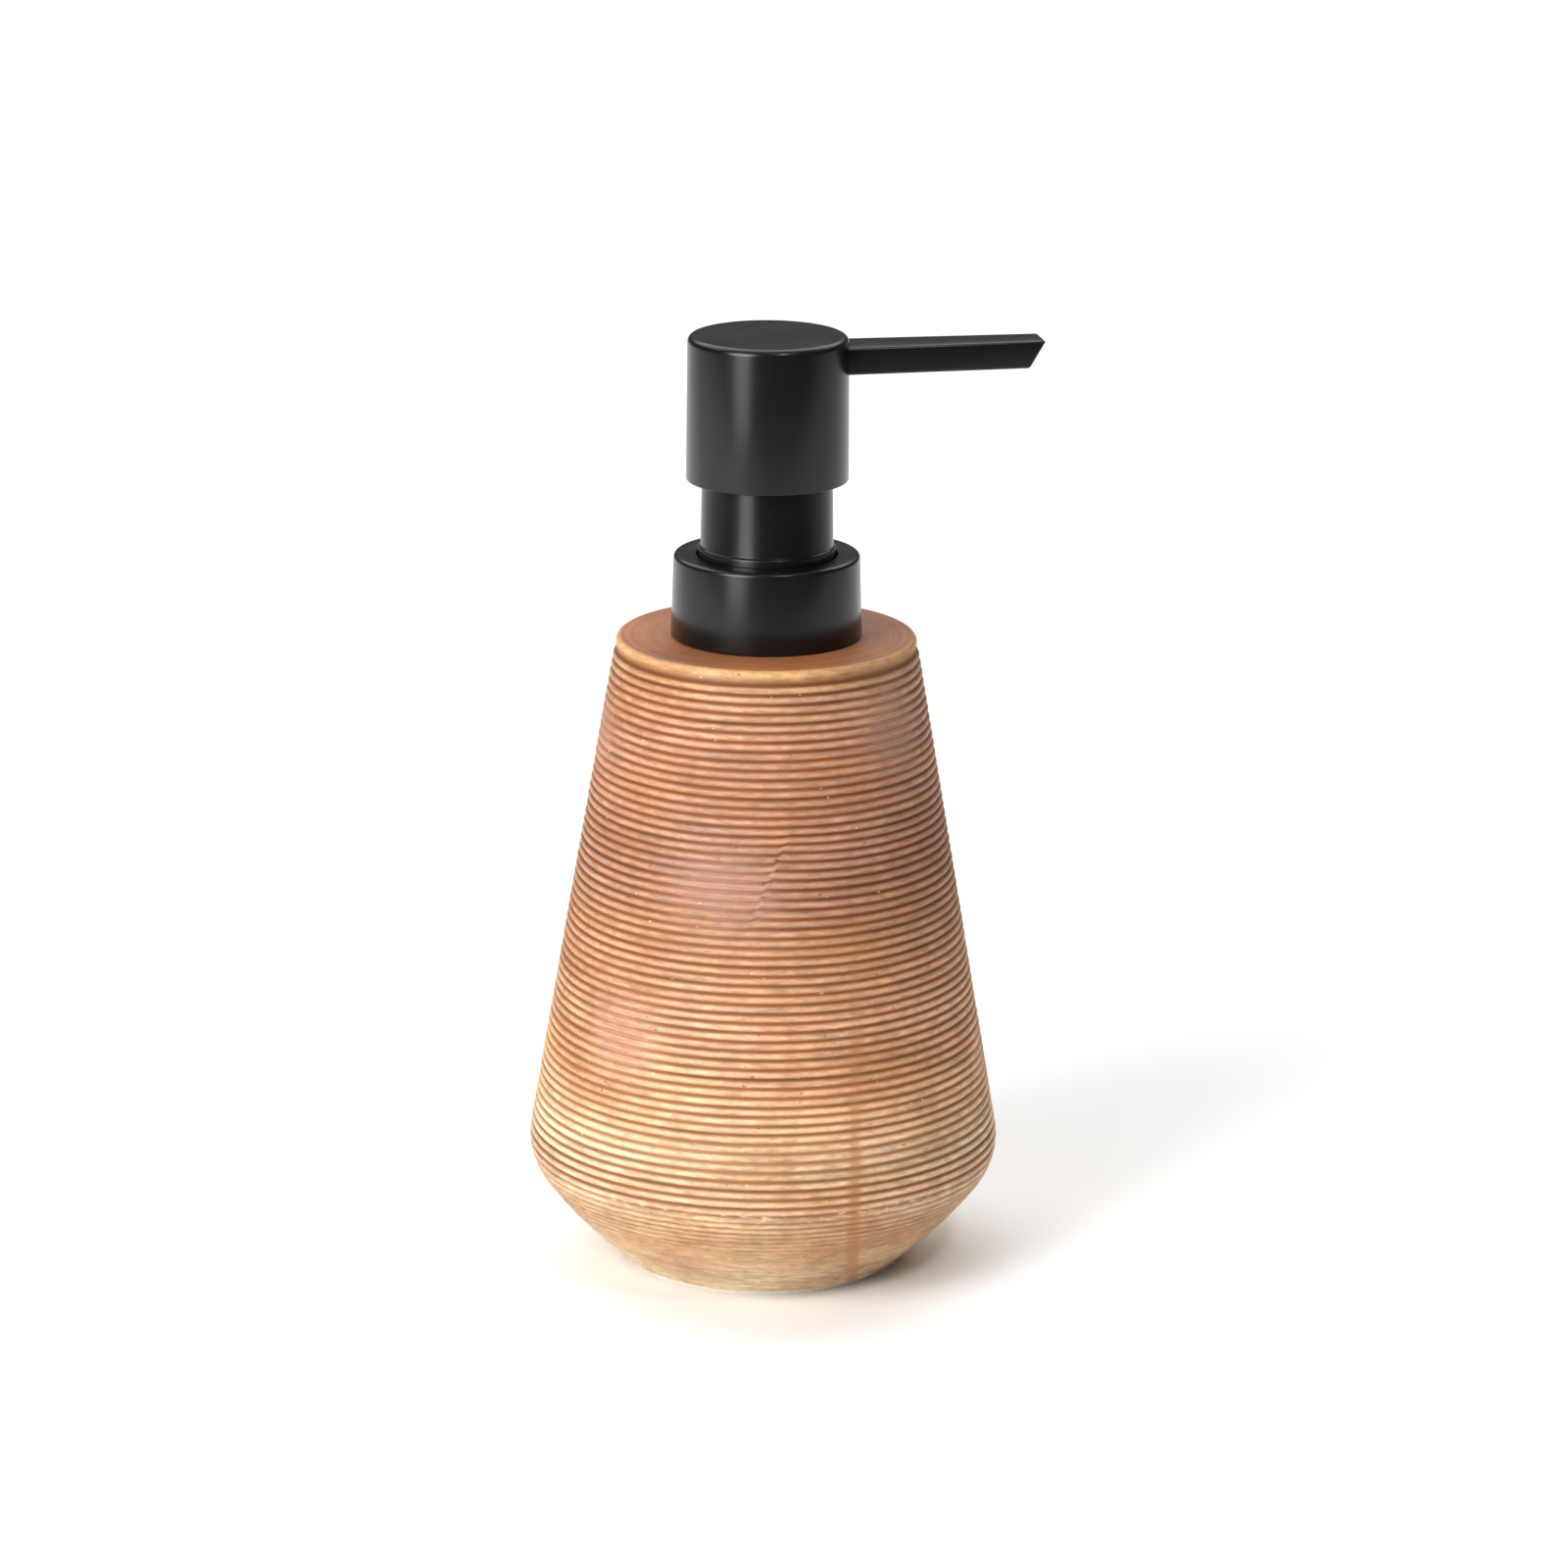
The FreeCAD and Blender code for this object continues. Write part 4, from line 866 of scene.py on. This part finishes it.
polypropylene = milky_plastic("natural_polypropylene_moulding", "e9e9e4", 0.34, 0.25)
polyethylene = milky_plastic("natural_polyethylene_moulding", "dfe6ec", 0.38, 0.15)
gasket_foam = soft_seal("pale_gasket_foam", "dcdad3", "efeee8", 0.8, 0.3 * MM)
ring_rubber = soft_seal("black_nitrile_rubber", "0f0f10", "1b1b1b", 0.6, 0.15 * MM)
steel = drawn_steel("bright_stainless_steel")
INNER_FINISHES = (
    (black_plastic, "black_abs", ("neck_bush", "screw_cap")),
    (polypropylene, "natural_polypropylene", (
        "pump_housing", "ball_cage", "dip_tube", "rod_guide", "piston_rod", "stem", "actuator_core",
        "spout_tube",
    )),
    (polyethylene, "piston_polyethylene", ("piston_seal",)),
    (gasket_foam, "gasket_foam", ("neck_gasket",)),
    (ring_rubber, "black_rubber", ("bush_o_rings",)),
    (steel, "stainless_steel", ("inlet_ball", "outlet_ball")),
)
for material, slot_name, names in INNER_FINISHES:
    for name in names:
        nodes[name].data.materials.clear()
        nodes[name].data.materials.append(material)


# ---- Return spring --------------------------------------------------------------------------------
# Open coil of stainless steel wire inside the pump housing, standing on the ball cage under the rod's
# collar.
coil_low, coil_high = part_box("return_spring")
WIRE_R = 0.45 * MM
COIL_R = coil_high.x - WIRE_R
COIL_TURNS = 6
WIRE_SIDES = 12
COIL_STEPS = 28
coil_height = coil_high.z - coil_low.z

deselect()
bpy.ops.mesh.primitive_circle_add(vertices=WIRE_SIDES, radius=WIRE_R)
coil = bpy.context.object
coil.name = "coil_spring"
bpy.ops.object.mode_set(mode="EDIT")
bpy.ops.mesh.select_all(action="SELECT")
bpy.ops.transform.rotate(value=math.pi / 2, orient_axis="X", center_override=(0, 0, 0))
bpy.ops.transform.translate(value=(COIL_R, 0, coil_low.z + WIRE_R))
bpy.ops.object.mode_set(mode="OBJECT")
apply_modifier(coil, "SCREW", axis="Z", angle=2 * math.pi, iterations=COIL_TURNS, steps=COIL_STEPS,
               render_steps=COIL_STEPS, screw_offset=(coil_height - 2 * WIRE_R) / COIL_TURNS)
bpy.ops.object.mode_set(mode="EDIT")
bpy.ops.mesh.select_all(action="SELECT")
bpy.ops.mesh.fill_holes(sides=0)
bpy.ops.mesh.select_all(action="SELECT")
bpy.ops.mesh.normals_make_consistent(inside=False)
bpy.ops.object.mode_set(mode="OBJECT")
smooth(coil, 50)
coil.data.materials.append(steel)
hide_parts("return_spring")
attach(coil, "pump")
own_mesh(coil)
